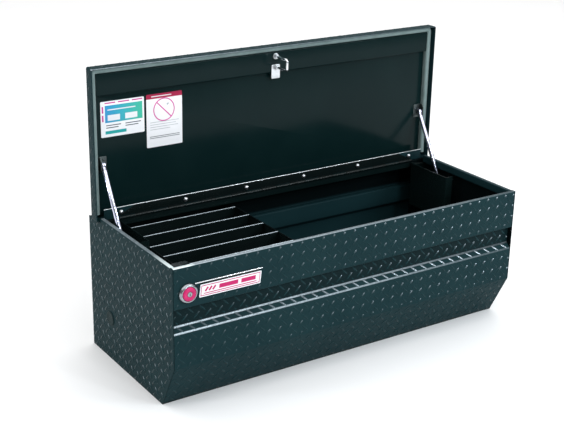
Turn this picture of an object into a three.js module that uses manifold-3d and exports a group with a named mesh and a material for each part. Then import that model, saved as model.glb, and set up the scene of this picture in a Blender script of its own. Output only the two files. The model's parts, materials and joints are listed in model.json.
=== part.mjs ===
// Diamond-plate truck tool chest, millimetres, +Z up.
// The chest is laid out with y = 0 on its front face and the whole group is then centred in plan.
import * as THREE from "three";
import Module from "manifold-3d";
import { mergeVertices } from "three/addons/utils/BufferGeometryUtils.js";

const wasm = await Module();
wasm.setup();

// ---- driving sizes ---------------------------------------------------------------------------
const LENGTH = 1200;
const DEPTH = 505;
const HEIGHT = 425;
const SHEET = 2.5;
const SEAM = 0.2;            // gap left between two welded sheets
const CLEAR = 0.4;           // gap left beside a piece that moves

const RIM_WIDTH = 14;
const RIM_RETURN = 22;
const GROOVE_TOP = 0.72 * HEIGHT;
const GROOVE_DEPTH = 16;
const LEDGE_TOP = GROOVE_TOP - 54;
const LEDGE_BOTTOM = LEDGE_TOP - 15;
const BEVEL_HEIGHT = 134;
const BEVEL_DEPTH = 68;
const FLOOR_LIP = 18;

const LID_OVERHANG = 9.6;    // side skirts stand this far outside the ends
const LID_FRONT = -12;
const LID_SKIRT_DROP = 14;   // skirts reach this far below the rim
const LID_THICKNESS = 37;
const SEAL_WIDTH = 17;

const HINGE_Y = DEPTH - 71;
const HINGE_Z = HEIGHT - 12;
const PIN_RADIUS = 2.5;
const KNUCKLE_RADIUS = 4.4;
const DECK_Z = HINGE_Z - 2;
const DECK_EDGE = HINGE_Y + KNUCKLE_RADIUS + 0.8;
const DECK_RETURN = 23;
const LEAF_THICKNESS = 2;
const LEAF_HEIGHT = 26;

const STRUT_X = LENGTH / 2 - 24.6;
const STRUT_LOW = { y: 200, z: 145 };
const STRUT_HIGH = { y: HINGE_Y + 16, z: HINGE_Z + 162 };
const TUBE_RADIUS = 7.5;
const ROD_RADIUS = 4;
const EYE_RADIUS = 8;
const EYE_WIDTH = 11.4;

const LOCK_X = -LENGTH / 2 + 45;
const LOCK_Z = HEIGHT - 76;
const BEZEL_RADIUS = 28;
const BUTTON_RADIUS = 19.5;
const BUTTON_TRAVEL = 6;
const STEM_RADIUS = 11;
const CYLINDER_RADIUS = 7;
const STEM_END = 14;
const RELEASE_Y = 12;
const RELEASE_Z = HEIGHT - 31;
const RELEASE_RADIUS = 3;

const BAIL_Y = 22;
const BAIL_PITCH = 33;
const BAIL_RADIUS = 3.8;
const BAIL_DROP = 48;

const GUARD_X = LENGTH / 2 - 62;
const GUARD_FRONT = 250;
const GUARD_REAR = HINGE_Y - 4;
const GUARD_LOW = 262;
const GUARD_TOP = 406;

const LEDGE_Z = GROOVE_TOP + SHEET;
const TRAY_LEFT = -LENGTH / 2 + 66;
const TRAY_RIGHT = TRAY_LEFT + 377;
const TRAY_FRONT = 6;
const TRAY_REAR = DEPTH - 6;
const TRAY_TOP = DECK_Z - DECK_RETURN - 4;
const TRAY_SHEET = 1.5;
const DIVIDER_PITCH = 79.5;
const DIVIDER_COUNT = 5;

// ---- solid helpers ---------------------------------------------------------------------------
const AXIS_X = new THREE.Vector3(1, 0, 0);
const AXIS_Y = new THREE.Vector3(0, 1, 0);
const AXIS_Z = new THREE.Vector3(0, 0, 1);

function shapeOf(points, holes = []) {
  const shape = new THREE.Shape(points.map(([u, v]) => new THREE.Vector2(u, v)));
  for (const { u, v, r } of holes) {
    const hole = new THREE.Path();
    hole.absarc(u, v, r, 0, 2 * Math.PI, true);
    shape.holes.push(hole);
  }
  return shape;
}

function extruded(points, depth, holes) {
  return new THREE.ExtrudeGeometry(shapeOf(points, holes), {
    depth, bevelEnabled: false, curveSegments: 10,
  });
}

// Polygon in (y, z) carried along X.
function prismX(points, x0, x1, holes) {
  const g = extruded(points, x1 - x0, holes);
  g.applyMatrix4(new THREE.Matrix4().makeBasis(AXIS_Y, AXIS_Z, AXIS_X));
  g.translate(x0, 0, 0);
  return g;
}

// Polygon in (x, z) carried along Y.
function prismY(points, y0, y1, holes) {
  const g = extruded(points, y1 - y0, holes);
  g.applyMatrix4(new THREE.Matrix4().makeBasis(AXIS_X, AXIS_Z, AXIS_Y.clone().negate()));
  g.translate(0, y1, 0);
  return g;
}

function box(x0, x1, y0, y1, z0, z1) {
  const g = new THREE.BoxGeometry(x1 - x0, y1 - y0, z1 - z0);
  g.translate((x0 + x1) / 2, (y0 + y1) / 2, (z0 + z1) / 2);
  return g;
}

// Cylinder from one end point to another.
function rod(from, to, radius, segments = 20) {
  const a = new THREE.Vector3(...from);
  const b = new THREE.Vector3(...to);
  const along = b.clone().sub(a);
  const g = new THREE.CylinderGeometry(radius, radius, along.length(), segments);
  const turn = new THREE.Quaternion().setFromUnitVectors(AXIS_Y, along.clone().normalize());
  g.applyQuaternion(turn);
  g.translate((a.x + b.x) / 2, (a.y + b.y) / 2, (a.z + b.z) / 2);
  return g;
}

// Closed profile of [radius, height] turned about a line through `base` in the direction `axis`.
// The profile may be listed either way round: it is walked so that the faces point outwards.
function turned(profile, base, axis, segments = 32) {
  const twiceArea = profile.reduce((sum, [r, h], i) => {
    const [nextR, nextH] = profile[(i + 1) % profile.length];
    return sum + r * nextH - nextR * h;
  }, 0);
  const ordered = twiceArea > 0 ? profile : profile.slice().reverse();
  const g = new THREE.LatheGeometry(ordered.map(([r, h]) => new THREE.Vector2(r, h)), segments);
  const turn = new THREE.Quaternion().setFromUnitVectors(AXIS_Y, axis);
  g.applyQuaternion(turn);
  g.translate(...base);
  return g;
}

function solid(geometry) {
  const g = geometry.clone();
  g.deleteAttribute("normal");
  g.deleteAttribute("uv");
  const merged = mergeVertices(g, 1e-4);
  const mesh = new wasm.Mesh({
    numProp: 3,
    vertProperties: new Float32Array(merged.attributes.position.array),
    triVerts: new Uint32Array(merged.index.array),
  });
  return new wasm.Manifold(mesh);
}

function geometryOf(manifold) {
  const mesh = manifold.getMesh();
  const g = new THREE.BufferGeometry();
  g.setAttribute("position", new THREE.BufferAttribute(new Float32Array(mesh.vertProperties), 3));
  g.setIndex(new THREE.BufferAttribute(new Uint32Array(mesh.triVerts), 1));
  g.computeVertexNormals();
  return g;
}

function joined(pieces, cuts = []) {
  let result = solid(pieces[0]);
  for (const piece of pieces.slice(1)) {
    result = result.add(solid(piece));
  }
  for (const piece of cuts) {
    result = result.subtract(solid(piece));
  }
  return geometryOf(result);
}

// Constant-thickness section to the left of a polyline walked in order, with mitred corners.
function folded(points, thickness) {
  const count = points.length;
  const normals = [];
  for (let i = 0; i + 1 < count; i += 1) {
    const dy = points[i + 1][0] - points[i][0];
    const dz = points[i + 1][1] - points[i][1];
    const size = Math.hypot(dy, dz);
    normals.push([-dz / size, dy / size]);
  }
  const inner = points.map(([y, z], i) => {
    const a = normals[Math.max(i - 1, 0)];
    const b = normals[Math.min(i, count - 2)];
    const scale = thickness / (1 + a[0] * b[0] + a[1] * b[1]);
    return [y + (a[0] + b[0]) * scale, z + (a[1] + b[1]) * scale];
  });
  return points.concat(inner.reverse());
}

const POWDER_COAT = { color: 0x16211f, roughness: 0.42, metalness: 0.35 };
const GLOSS_BLACK = { color: 0x0d1413, roughness: 0.18, metalness: 0.2 };
const ZINC = { color: 0xc4c8cc, roughness: 0.3, metalness: 0.9 };
const CHROME = { color: 0xd8dbdf, roughness: 0.12, metalness: 1.0 };
const BRIGHT_TUBE = { color: 0xd9dae6, roughness: 0.25, metalness: 0.5 };
const RED_ENAMEL = { color: 0xb3122e, roughness: 0.35, metalness: 0.0 };
const SEAL_FOAM = { color: 0x8ea7a4, roughness: 0.85, metalness: 0.0 };
const WHITE_FILM = { color: 0xe9edf0, roughness: 0.5, metalness: 0.0 };
const RUBBER = { color: 0x1b201f, roughness: 0.8, metalness: 0.0 };

function piece(parent, name, geometry, finish) {
  const mesh = new THREE.Mesh(geometry, new THREE.MeshStandardMaterial(finish));
  mesh.name = name;
  parent.add(mesh);
  return mesh;
}

const SIDES = [["left", -1], ["right", 1]];

// ---- chest body ------------------------------------------------------------------------------
function frontPanel() {
  const half = LENGTH / 2 - SHEET - SEAM;
  const bevelFoot = BEVEL_DEPTH * (1 - (SHEET + SEAM) / BEVEL_HEIGHT);
  const section = folded([
    [RIM_WIDTH, HEIGHT - RIM_RETURN],
    [RIM_WIDTH, HEIGHT],
    [0, HEIGHT],
    [0, GROOVE_TOP],
    [GROOVE_DEPTH, GROOVE_TOP],
    [GROOVE_DEPTH, LEDGE_TOP],
    [0, LEDGE_BOTTOM],
    [0, BEVEL_HEIGHT],
    [bevelFoot, SHEET + SEAM],
    [bevelFoot + FLOOR_LIP, SHEET + SEAM],
  ], SHEET);
  const lockHole = rod([LOCK_X, -20, LOCK_Z], [LOCK_X, 12, LOCK_Z], STEM_RADIUS + 3.4, 32);
  return joined([prismX(section, -half, half)], [lockHole]);
}

function rearPanel() {
  const half = LENGTH / 2 - SHEET - SEAM;
  const section = folded([
    [DEPTH - FLOOR_LIP, SHEET + SEAM],
    [DEPTH, SHEET + SEAM],
    [DEPTH, LEDGE_BOTTOM],
    [DEPTH - GROOVE_DEPTH, LEDGE_TOP],
    [DEPTH - GROOVE_DEPTH, GROOVE_TOP],
    [DEPTH, GROOVE_TOP],
    [DEPTH, DECK_Z],
    [DECK_EDGE, DECK_Z],
    [DECK_EDGE, DECK_Z - DECK_RETURN],
  ], SHEET);
  return joined([prismX(section, -half, half)]);
}

function floorPanel() {
  const half = LENGTH / 2 - SHEET - SEAM;
  const ribs = [];
  const start = BEVEL_DEPTH + FLOOR_LIP + 14;
  const end = DEPTH - FLOOR_LIP - 14;
  for (let i = 0; i < 5; i += 1) {
    const x = -0.8 * half + i * 0.4 * half;
    ribs.push(box(x - 15, x + 15, start, end, SHEET / 2, SHEET + 2));
  }
  return joined([box(-half, half, BEVEL_DEPTH, DEPTH, 0, SHEET), ...ribs]);
}

function endPanel(side) {
  const outer = side * LENGTH / 2;
  const inner = side * (LENGTH / 2 - SHEET);
  const rim = side * (LENGTH / 2 - RIM_WIDTH);
  const rimFront = RIM_WIDTH + SEAM;
  const notch = HINGE_Y - 6;
  const outline = [
    [BEVEL_DEPTH, 0], [DEPTH, 0], [DEPTH, DECK_Z], [notch, DECK_Z], [notch, HEIGHT], [0, HEIGHT],
    [0, BEVEL_HEIGHT],
  ];
  const lo = Math.min(outer, inner);
  const hi = Math.max(outer, inner);
  const plate = prismX(outline, lo, hi);
  const flange = box(Math.min(outer, rim), Math.max(outer, rim), rimFront, notch,
    HEIGHT - SHEET, HEIGHT);
  const fold = rim + side * SHEET;
  const drop = box(Math.min(rim, fold), Math.max(rim, fold), rimFront, notch,
    HEIGHT - RIM_RETURN, HEIGHT);
  const plugHole = rod([outer + side * 5, PLUG_Y, PLUG_Z], [inner - side * 5, PLUG_Y, PLUG_Z],
    PLUG_RADIUS - 3 + CLEAR, 24);
  return joined([plate, flange, drop], [plugHole]);
}

const PLUG_Y = DEPTH - 124;
const PLUG_Z = 132;
const PLUG_RADIUS = 22;

function holePlug(side) {
  const outer = side * (LENGTH / 2 + SEAM);
  const neck = PLUG_RADIUS - 3;
  const profile = [
    [0, -8], [neck - 3, -8], [neck - 3, -8 + 2], [neck, -5], [neck, 0], [PLUG_RADIUS, 0],
    [PLUG_RADIUS, 1.6], [PLUG_RADIUS - 2, 3], [0, 3],
  ];
  return turned(profile, [outer, PLUG_Y, PLUG_Z], AXIS_X.clone().multiplyScalar(side), 24);
}

// Folded cover between a strut and the load.
function endGuard(side) {
  const plate = side * GUARD_X;
  const face = side * (GUARD_X - 2);
  const lip = side * (GUARD_X + 25);
  const wall = side * (LENGTH / 2 - SHEET - SEAM);
  const sorted = (a, b) => [Math.min(a, b), Math.max(a, b)];
  const front = box(...sorted(face, lip), GUARD_FRONT, GUARD_FRONT + 2, GUARD_LOW, GUARD_TOP);
  const main = box(...sorted(face, plate), GUARD_FRONT, GUARD_REAR, GUARD_LOW, GUARD_TOP);
  const rear = box(...sorted(face, wall), GUARD_REAR - 2, GUARD_REAR, GUARD_LOW, GUARD_TOP - 8);
  return joined([main, front, rear]);
}

// ---- lock and latch --------------------------------------------------------------------------
function lockCover() {
  const x0 = -LENGTH / 2 + RIM_WIDTH + SEAM + 0.6;
  const x1 = LOCK_X + 14;
  const y0 = RIM_WIDTH + SEAM + 0.2;
  const y1 = y0 + 22;
  const top = HEIGHT - SEAM;
  const low = LOCK_Z - 31;
  return joined([
    box(x0, x1, y1 - 2, y1, low, top),
    box(x0, x1, y0, y1, top - 2, top),
    box(x1 - 2, x1, y0 + 4, y1, low, top),
    box(x0, x0 + 2, y0 + 4, y1, low, top),
  ]);
}

function lockBezel() {
  const bore = BUTTON_RADIUS + 0.8;
  const profile = [
    [bore, 0], [BEZEL_RADIUS, 0], [BEZEL_RADIUS, 5], [BEZEL_RADIUS - 2, 8], [bore + 3, 9],
    [bore, 8], [bore, 0],
  ];
  return turned(profile, [LOCK_X, -SEAM, LOCK_Z], AXIS_Y.clone().negate(), 40);
}

// Cap over the bezel bore, a stem through the panel and a nub that meets the release arm.
function pushButton() {
  const bore = CYLINDER_RADIUS + CLEAR;
  const capBack = BUTTON_TRAVEL + 0.7;
  const profile = [
    [0, -11], [bore, -11], [bore, capBack + 5.3], [BUTTON_RADIUS - 2, capBack + 5.3],
    [BUTTON_RADIUS, capBack + 3.8], [BUTTON_RADIUS, capBack], [STEM_RADIUS, capBack],
    [STEM_RADIUS, -12.5], [4, -STEM_END], [0, -STEM_END],
  ];
  return turned(profile, [LOCK_X, 0, LOCK_Z], AXIS_Y.clone().negate(), 40);
}

function lockCylinder() {
  const front = -12.3;
  const barrel = rod([LOCK_X, front, LOCK_Z], [LOCK_X, 10.6, LOCK_Z], CYLINDER_RADIUS, 28);
  const keyway = box(LOCK_X - 0.9, LOCK_X + 0.9, front - 1, front + 7, LOCK_Z - 4.2, LOCK_Z + 4.2);
  return joined([barrel], [keyway]);
}

function lockNut() {
  const bore = STEM_RADIUS + 2.6;
  const profile = [[bore, 0], [20, 0], [20, 6], [bore, 6], [bore, 0]];
  return turned(profile, [LOCK_X, SHEET + SEAM, LOCK_Z], AXIS_Y, 24);
}

const ARM_FACE = STEM_END + 0.6;
const RELEASE_INNER = -44;

// Torsion rod behind the rim: the button pushes its left arm, the middle arm reaches the latch.
function releaseRod() {
  const left = LOCK_X - 6;
  const arm = (x, foot) => prismX([
    [RELEASE_Y - 4, RELEASE_Z + 4], [RELEASE_Y + 4, RELEASE_Z + 4], [ARM_FACE + 4, RELEASE_Z - 8],
    [ARM_FACE + 4, foot], [ARM_FACE, foot], [ARM_FACE, RELEASE_Z - 10], [RELEASE_Y - 4, RELEASE_Z - 3],
  ], x - 4, x + 4);
  return joined([
    rod([left, RELEASE_Y, RELEASE_Z], [RELEASE_INNER + 4, RELEASE_Y, RELEASE_Z], RELEASE_RADIUS, 16),
    arm(LOCK_X, LOCK_Z - 8),
    arm(RELEASE_INNER, LATCH_Z - 2),
  ]);
}

function rodClip(x) {
  const y0 = SHEET + SEAM;
  return joined(
    [box(x - 8, x + 8, y0, RELEASE_Y + 6, RELEASE_Z - 6, RELEASE_Z + 6)],
    [rod([x - 20, RELEASE_Y, RELEASE_Z], [x + 20, RELEASE_Y, RELEASE_Z], RELEASE_RADIUS + CLEAR, 20)],
  );
}

const LATCH_X = -20;
const LATCH_Z = HINGE_Z - BAIL_DROP - 17;
const LATCH_MID = BAIL_Y + BAIL_PITCH / 2;
const ROTOR_THICKNESS = 6;
const CHEEK_GAP = 5;
const LATCH_SWING = THREE.MathUtils.degToRad(50);

// Two cheek plates with an open throat for the bail, on a foot fixed to the front panel.
function latchHousing() {
  const barZ = HINGE_Z - BAIL_DROP;
  const throat = BAIL_RADIUS + 2.4;
  const outline = [
    [-36, LATCH_Z - 34], [26, LATCH_Z - 34], [26, barZ + 6], [throat + 6, barZ + 18],
    [throat, barZ + 8], [throat, barZ - 8], [-throat, barZ - 8], [-throat, barZ + 8],
    [-throat - 4, barZ + 14], [-36, barZ + 14],
  ];
  const inner = ROTOR_THICKNESS / 2 + CHEEK_GAP;
  const hole = [{ u: LATCH_X, v: LATCH_Z, r: 4 + SEAM }];
  const cheek = (y) => prismY(outline, y, y + 2, hole);
  const foot = box(-36, 26, SHEET + SEAM, LATCH_MID + inner + 2, LATCH_Z - 34, LATCH_Z - 32);
  const flange = box(-36, 26, SHEET + SEAM, SHEET + SEAM + 2, LATCH_Z - 34, LATCH_Z - 12);
  return joined([foot, cheek(LATCH_MID - inner - 2), cheek(LATCH_MID + inner), flange]);
}

function latchRotor() {
  const barZ = HINGE_Z - BAIL_DROP;
  const over = barZ + BAIL_RADIUS + 1.7;
  const half = ROTOR_THICKNESS / 2;
  const arm = prismY([
    [LATCH_X - 7, LATCH_Z], [LATCH_X + 7, LATCH_Z], [LATCH_X + 7, over - 4], [LATCH_X + 11, over],
    [8, over], [5, over + 8], [LATCH_X - 3, over + 8], [LATCH_X - 7, over + 4],
  ], LATCH_MID - half, LATCH_MID + half);
  const hub = rod([LATCH_X, LATCH_MID - half, LATCH_Z], [LATCH_X, LATCH_MID + half, LATCH_Z], 11, 28);
  const bore = rod([LATCH_X, LATCH_MID - 20, LATCH_Z], [LATCH_X, LATCH_MID + 20, LATCH_Z],
    4 + CLEAR, 24);
  const g = joined([arm, hub], [bore]);
  g.translate(-LATCH_X, -LATCH_MID, -LATCH_Z);
  g.rotateY(-LATCH_SWING);
  g.translate(LATCH_X, LATCH_MID, LATCH_Z);
  return g;
}

function rotorPin() {
  const reach = ROTOR_THICKNESS / 2 + CHEEK_GAP + 2;
  return joined([
    rod([LATCH_X, LATCH_MID - reach - 1, LATCH_Z], [LATCH_X, LATCH_MID + reach + 1, LATCH_Z], 4, 24),
    rod([LATCH_X, LATCH_MID + reach + SEAM, LATCH_Z], [LATCH_X, LATCH_MID + reach + 3, LATCH_Z], 6, 24),
  ]);
}

function nameplate() {
  const x0 = LOCK_X + 32;
  const x1 = x0 + 194;
  const low = LOCK_Z - 20;
  const face = prismY([[x0, low], [x1 - 4, low], [x1, low + 36], [x0 + 4, low + 36]],
    -3.2, -SEAM);
  const trim = box(x0 - 12, x1 + 2, -4, -SEAM, low + 42.5, low + 45.5);
  const back = box(x0 + 8, x1 - 8, -1.6, -SEAM, low + 30, low + 44);
  return joined([face, back, trim]);
}

// ---- hinge -----------------------------------------------------------------------------------
const LEAF_HALF = LENGTH / 2 - 60;
const KNUCKLES = 10;

function knuckleSpan(index) {
  const pitch = 2 * LEAF_HALF / (2 * KNUCKLES);
  return [-LEAF_HALF + index * pitch + 0.5, -LEAF_HALF + (index + 1) * pitch - 0.5];
}

function knuckles(parity) {
  const tubes = [];
  for (let i = parity; i < 2 * KNUCKLES; i += 2) {
    const [x0, x1] = knuckleSpan(i);
    tubes.push(rod([x0, HINGE_Y, HINGE_Z], [x1, HINGE_Y, HINGE_Z], KNUCKLE_RADIUS, 16));
  }
  return tubes;
}

function pinBore() {
  return rod([-LENGTH, HINGE_Y, HINGE_Z], [LENGTH, HINGE_Y, HINGE_Z], PIN_RADIUS + CLEAR, 16);
}

// Leaf under the deck, fixed to its return; the knuckles rise in front of the deck edge.
function hingeBodyLeaf() {
  const back = DECK_EDGE - SEAM;
  const front = back - LEAF_THICKNESS;
  const low = DECK_Z - DECK_RETURN + 0.5;
  const plate = box(-LEAF_HALF, LEAF_HALF, front, back, low, HINGE_Z - KNUCKLE_RADIUS - 0.6);
  const tabs = [];
  for (let i = 0; i < 2 * KNUCKLES; i += 2) {
    const [x0, x1] = knuckleSpan(i);
    tabs.push(box(x0, x1, HINGE_Y + 2, back, low + 4, HINGE_Z - 2.6));
  }
  return joined([plate, ...tabs, ...knuckles(0)], [pinBore()]);
}

// ---- lid, laid out closed --------------------------------------------------------------------
const LID_LOW = HEIGHT - LID_SKIRT_DROP;
const LID_TOP = LID_LOW + LID_THICKNESS;
const LID_HALF = LENGTH / 2 + LID_OVERHANG;
const SKIN_UNDER = LID_TOP - SHEET;
const FLANGE_LOW = HINGE_Z + KNUCKLE_RADIUS + CLEAR;
const LINER_FACE = SKIN_UNDER - 4.5;
const CHANNEL_FACE = HEIGHT + 3;
const CHANNEL_FRONT = LID_FRONT + SHEET + SEAL_WIDTH + 0.6;
const CHANNEL_REAR = 72;

function lidSkin() {
  const clear = LID_HALF - SHEET;
  const rearWall = HINGE_Y - SHEET;
  const flangeHalf = LENGTH / 2 - RIM_WIDTH - 3;
  const flangeTop = FLANGE_LOW + SHEET;
  const inside = LID_FRONT + SHEET;
  return joined([
    box(-LID_HALF, LID_HALF, LID_FRONT, HINGE_Y, LID_LOW, LID_TOP),
  ], [
    box(-clear, clear, inside, rearWall, flangeTop, SKIN_UNDER),
    box(-clear, clear, inside, HINGE_Y - 31, LID_LOW - 5, flangeTop + 1),
    box(-clear, -flangeHalf, HINGE_Y - 33, rearWall, LID_LOW - 5, flangeTop + 1),
    box(flangeHalf, clear, HINGE_Y - 33, rearWall, LID_LOW - 5, flangeTop + 1),
    box(-clear, clear, HINGE_Y - 33, HINGE_Y + 5, LID_LOW - 5, FLANGE_LOW),
  ]);
}

function lidLiner() {
  const half = LID_HALF - SHEET - SEAL_WIDTH - 0.8;
  return box(-half, half, CHANNEL_REAR + 0.5, HINGE_Y - SHEET - SEAM, LINER_FACE, SKIN_UNDER - SEAM);
}

function lidFrontChannel() {
  const half = LID_HALF - SHEET - SEAL_WIDTH - 0.8;
  const top = SKIN_UNDER - SEAM;
  const section = folded([
    [CHANNEL_REAR, top], [CHANNEL_REAR, CHANNEL_FACE], [CHANNEL_FRONT, CHANNEL_FACE],
    [CHANNEL_FRONT, top],
  ], -SHEET);
  const bores = [0, 1].map((i) => {
    const y = BAIL_Y + i * BAIL_PITCH;
    return rod([0, y, CHANNEL_FACE - 10], [0, y, CHANNEL_FACE + 8], BAIL_RADIUS + SEAM, 20);
  });
  return joined([prismX(section.slice().reverse(), -half, half)], bores);
}

// Foam strip along the front and both sides, resting on the rim when the lid is shut.
function lidSeal() {
  const out = LID_HALF - SHEET - SEAM;
  const inn = out - SEAL_WIDTH;
  const front = LID_FRONT + SHEET + SEAM;
  const rear = HINGE_Y - SHEET - 14;
  const low = HEIGHT + CLEAR;
  const high = SKIN_UNDER - SEAM;
  return joined([
    box(-out, out, front, front + SEAL_WIDTH, low, high),
    box(-out, -inn, front, rear, low, high),
    box(inn, out, front, rear, low, high),
  ]);
}

const LEAF_NEAR = HINGE_Y - KNUCKLE_RADIUS - 0.6;

function hingeLidLeaf() {
  const top = FLANGE_LOW - SEAM;
  const low = top - LEAF_THICKNESS;
  const near = LEAF_NEAR;
  const far = near - LEAF_HEIGHT;
  const shortHalf = LEAF_HALF - 56;
  const outline = new THREE.Shape([
    new THREE.Vector2(-LEAF_HALF, near), new THREE.Vector2(-shortHalf, far),
    new THREE.Vector2(shortHalf, far), new THREE.Vector2(LEAF_HALF, near),
  ]);
  const plate = new THREE.ExtrudeGeometry(outline, { depth: LEAF_THICKNESS, bevelEnabled: false });
  plate.translate(0, 0, low);
  const tabs = [];
  for (let i = 1; i < 2 * KNUCKLES; i += 2) {
    const [x0, x1] = knuckleSpan(i);
    tabs.push(box(x0, x1, near - 2, HINGE_Y - 1.5, low, top - SEAM));
  }
  const bores = BOLT_XS.map((x) => rod([x, BOLT_Y, low - 5], [x, BOLT_Y, top + 5], 2.4, 12));
  return joined([plate, ...tabs, ...knuckles(1)], [pinBore(), ...bores]);
}

const BOLT_PITCH = 212;
const BOLT_XS = [0, 1, 2, 3, 4, 5].map((i) => -2.5 * BOLT_PITCH + i * BOLT_PITCH);
const BOLT_Y = LEAF_NEAR - 0.45 * LEAF_HEIGHT;

// Domed bolt head under the leaf with a short shank in its hole.
function hingeBolt(x) {
  const face = FLANGE_LOW - SEAM - LEAF_THICKNESS - SEAM;
  const profile = [
    [0, -5.2], [2.6, -5], [5, -3.9], [6.6, -2.1], [7.2, 0], [2.1, 0], [2.1, LEAF_THICKNESS + SEAM],
    [0, LEAF_THICKNESS + SEAM],
  ];
  return turned(profile, [x, BOLT_Y, face], AXIS_Z, 16);
}

function strikerPlate() {
  const top = CHANNEL_FACE - SEAM;
  const low = top - 2.5;
  return joined(
    [box(-15, 15, BAIL_Y + BAIL_PITCH - 8, CHANNEL_REAR + 18, low, top)],
    [rod([0, BAIL_Y + BAIL_PITCH, low - 5], [0, BAIL_Y + BAIL_PITCH, top + 5],
      BAIL_RADIUS + SEAM, 20)],
  );
}

function strikerBail() {
  const bar = HINGE_Z - BAIL_DROP;
  const rear = BAIL_Y + BAIL_PITCH;
  const top = CHANNEL_FACE + 12;
  const bend = 5;
  const pieces = [
    rod([0, BAIL_Y, bar + bend], [0, BAIL_Y, top], BAIL_RADIUS, 16),
    rod([0, rear, bar + bend], [0, rear, top], BAIL_RADIUS, 16),
    rod([0, BAIL_Y + bend, bar], [0, rear - bend, bar], BAIL_RADIUS, 16),
    rod([0, BAIL_Y, bar + bend], [0, BAIL_Y + bend, bar], BAIL_RADIUS, 16),
    rod([0, rear, bar + bend], [0, rear - bend, bar], BAIL_RADIUS, 16),
  ];
  for (const [y, z] of [[BAIL_Y, bar + bend], [rear, bar + bend], [BAIL_Y + bend, bar],
    [rear - bend, bar]]) {
    const ball = new THREE.SphereGeometry(BAIL_RADIUS, 16, 10);
    ball.translate(0, y, z);
    pieces.push(ball);
  }
  return joined(pieces);
}

function strikerNut(index) {
  const y = BAIL_Y + index * BAIL_PITCH;
  const high = index === 0 ? CHANNEL_FACE - SEAM : CHANNEL_FACE - SEAM - 2.5 - SEAM;
  const bore = BAIL_RADIUS + SEAM;
  const washer = 2;
  const profile = [
    [bore, 0], [9.5, 0], [9.5, -washer], [7.4, -washer], [7.4, -9], [bore, -9], [bore, 0],
  ];
  return turned(profile, [0, y, high], AXIS_Z, 12);
}

function label(x0, x1, y0, y1) {
  return box(x0, x1, y0, y1, LINER_FACE - SEAM - 0.5, LINER_FACE - SEAM);
}

// ---- struts ----------------------------------------------------------------------------------
const STRUT_RUN = { y: STRUT_HIGH.y - STRUT_LOW.y, z: STRUT_HIGH.z - STRUT_LOW.z };
const STRUT_LENGTH = Math.hypot(STRUT_RUN.y, STRUT_RUN.z);
const STRUT_LEAN = Math.atan2(STRUT_RUN.y, STRUT_RUN.z);
const TUBE_LENGTH = 232;
const TUBE_NECK = 14;
const ROD_LENGTH = 266;

function eye(x, z) {
  const from = [x - EYE_WIDTH / 2, 0, z];
  const to = [x + EYE_WIDTH / 2, 0, z];
  return rod(from, to, EYE_RADIUS, 24);
}

function strutPose(geometry) {
  geometry.rotateX(-STRUT_LEAN);
  geometry.translate(0, STRUT_LOW.y, STRUT_LOW.z);
  return geometry;
}

function strutRod(side) {
  const x = side * STRUT_X;
  const bore = rod([x - 20, 0, 0], [x + 20, 0, 0], 4 + CLEAR, 20);
  return strutPose(joined([
    eye(x, 0),
    rod([x, 0, 4], [x, 0, ROD_LENGTH], ROD_RADIUS, 16),
    rod([x, 0, 5], [x, 0, 24], 5.5, 16),
  ], [bore]));
}

function strutTube(side) {
  const x = side * STRUT_X;
  const low = STRUT_LENGTH - TUBE_NECK - TUBE_LENGTH;
  const high = STRUT_LENGTH - TUBE_NECK;
  return strutPose(joined([
    eye(x, STRUT_LENGTH),
    rod([x, 0, low], [x, 0, high], TUBE_RADIUS, 20),
    rod([x, 0, high - 1], [x, 0, STRUT_LENGTH - 4], 5.5, 16),
  ], [rod([x, 0, low - 5], [x, 0, high - 8], ROD_RADIUS + 1.1, 20)]));
}

function strutStud(side) {
  const wall = side * (LENGTH / 2 - SHEET - SEAM);
  const { y, z } = STRUT_LOW;
  const end = side * (STRUT_X - EYE_WIDTH / 2 - 1);
  const shoulder = side * (STRUT_X + EYE_WIDTH / 2 + 1);
  return joined([
    rod([wall, y, z], [end, y, z], 4, 20),
    rod([wall, y, z], [shoulder, y, z], 7, 20),
    rod([wall, y, z], [wall - side * 3, y, z], 14, 24),
  ]);
}

const BRACKET_Y = HINGE_Y - (STRUT_HIGH.z - HINGE_Z);

// Angle bracket on the liner with a stud facing the strut's upper eye.
function strutBracket(side) {
  const y = BRACKET_Y;
  const z = HINGE_Z + (STRUT_HIGH.y - HINGE_Y);
  const faceX = STRUT_X + TUBE_RADIUS + 0.4;
  const tip = STRUT_X + EYE_WIDTH / 2 + CLEAR;
  const top = LINER_FACE - SEAM;
  const sorted = (a, b) => [Math.min(side * a, side * b), Math.max(side * a, side * b)];
  return joined([
    box(...sorted(faceX, faceX + 2.2), y - 22, y + 22, z - 9, top),
    box(...sorted(faceX - 24, faceX + 2.2), y - 22, y + 22, top - 1.8, top),
    rod([side * (faceX + 1), y, z], [side * tip, y, z], 4, 20),
  ]);
}

// ---- tray ------------------------------------------------------------------------------------
const TRAY_LOW = LEDGE_Z + 0.4;

function trayPan() {
  const t = TRAY_SHEET;
  return joined(
    [box(TRAY_LEFT, TRAY_RIGHT, TRAY_FRONT, TRAY_REAR, TRAY_LOW, TRAY_TOP)],
    [box(TRAY_LEFT + t, TRAY_RIGHT - t, TRAY_FRONT + t, TRAY_REAR - t, TRAY_LOW + t, TRAY_TOP + 10)],
  );
}

function trayDivider(index) {
  const y = DIVIDER_REAR - index * DIVIDER_PITCH;
  const x0 = TRAY_LEFT + TRAY_SHEET + SEAM;
  const x1 = TRAY_RIGHT - TRAY_SHEET - SEAM;
  const low = TRAY_LOW + TRAY_SHEET + SEAM;
  return joined([
    box(x0, x1, y - 0.75, y + 0.75, low, TRAY_TOP),
    box(x0, x1, y - 1.6, y + 1.6, TRAY_TOP - 8, TRAY_TOP),
    box(x0, x1, y - 0.75, y + 12, low, low + 1.5),
  ]);
}

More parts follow.
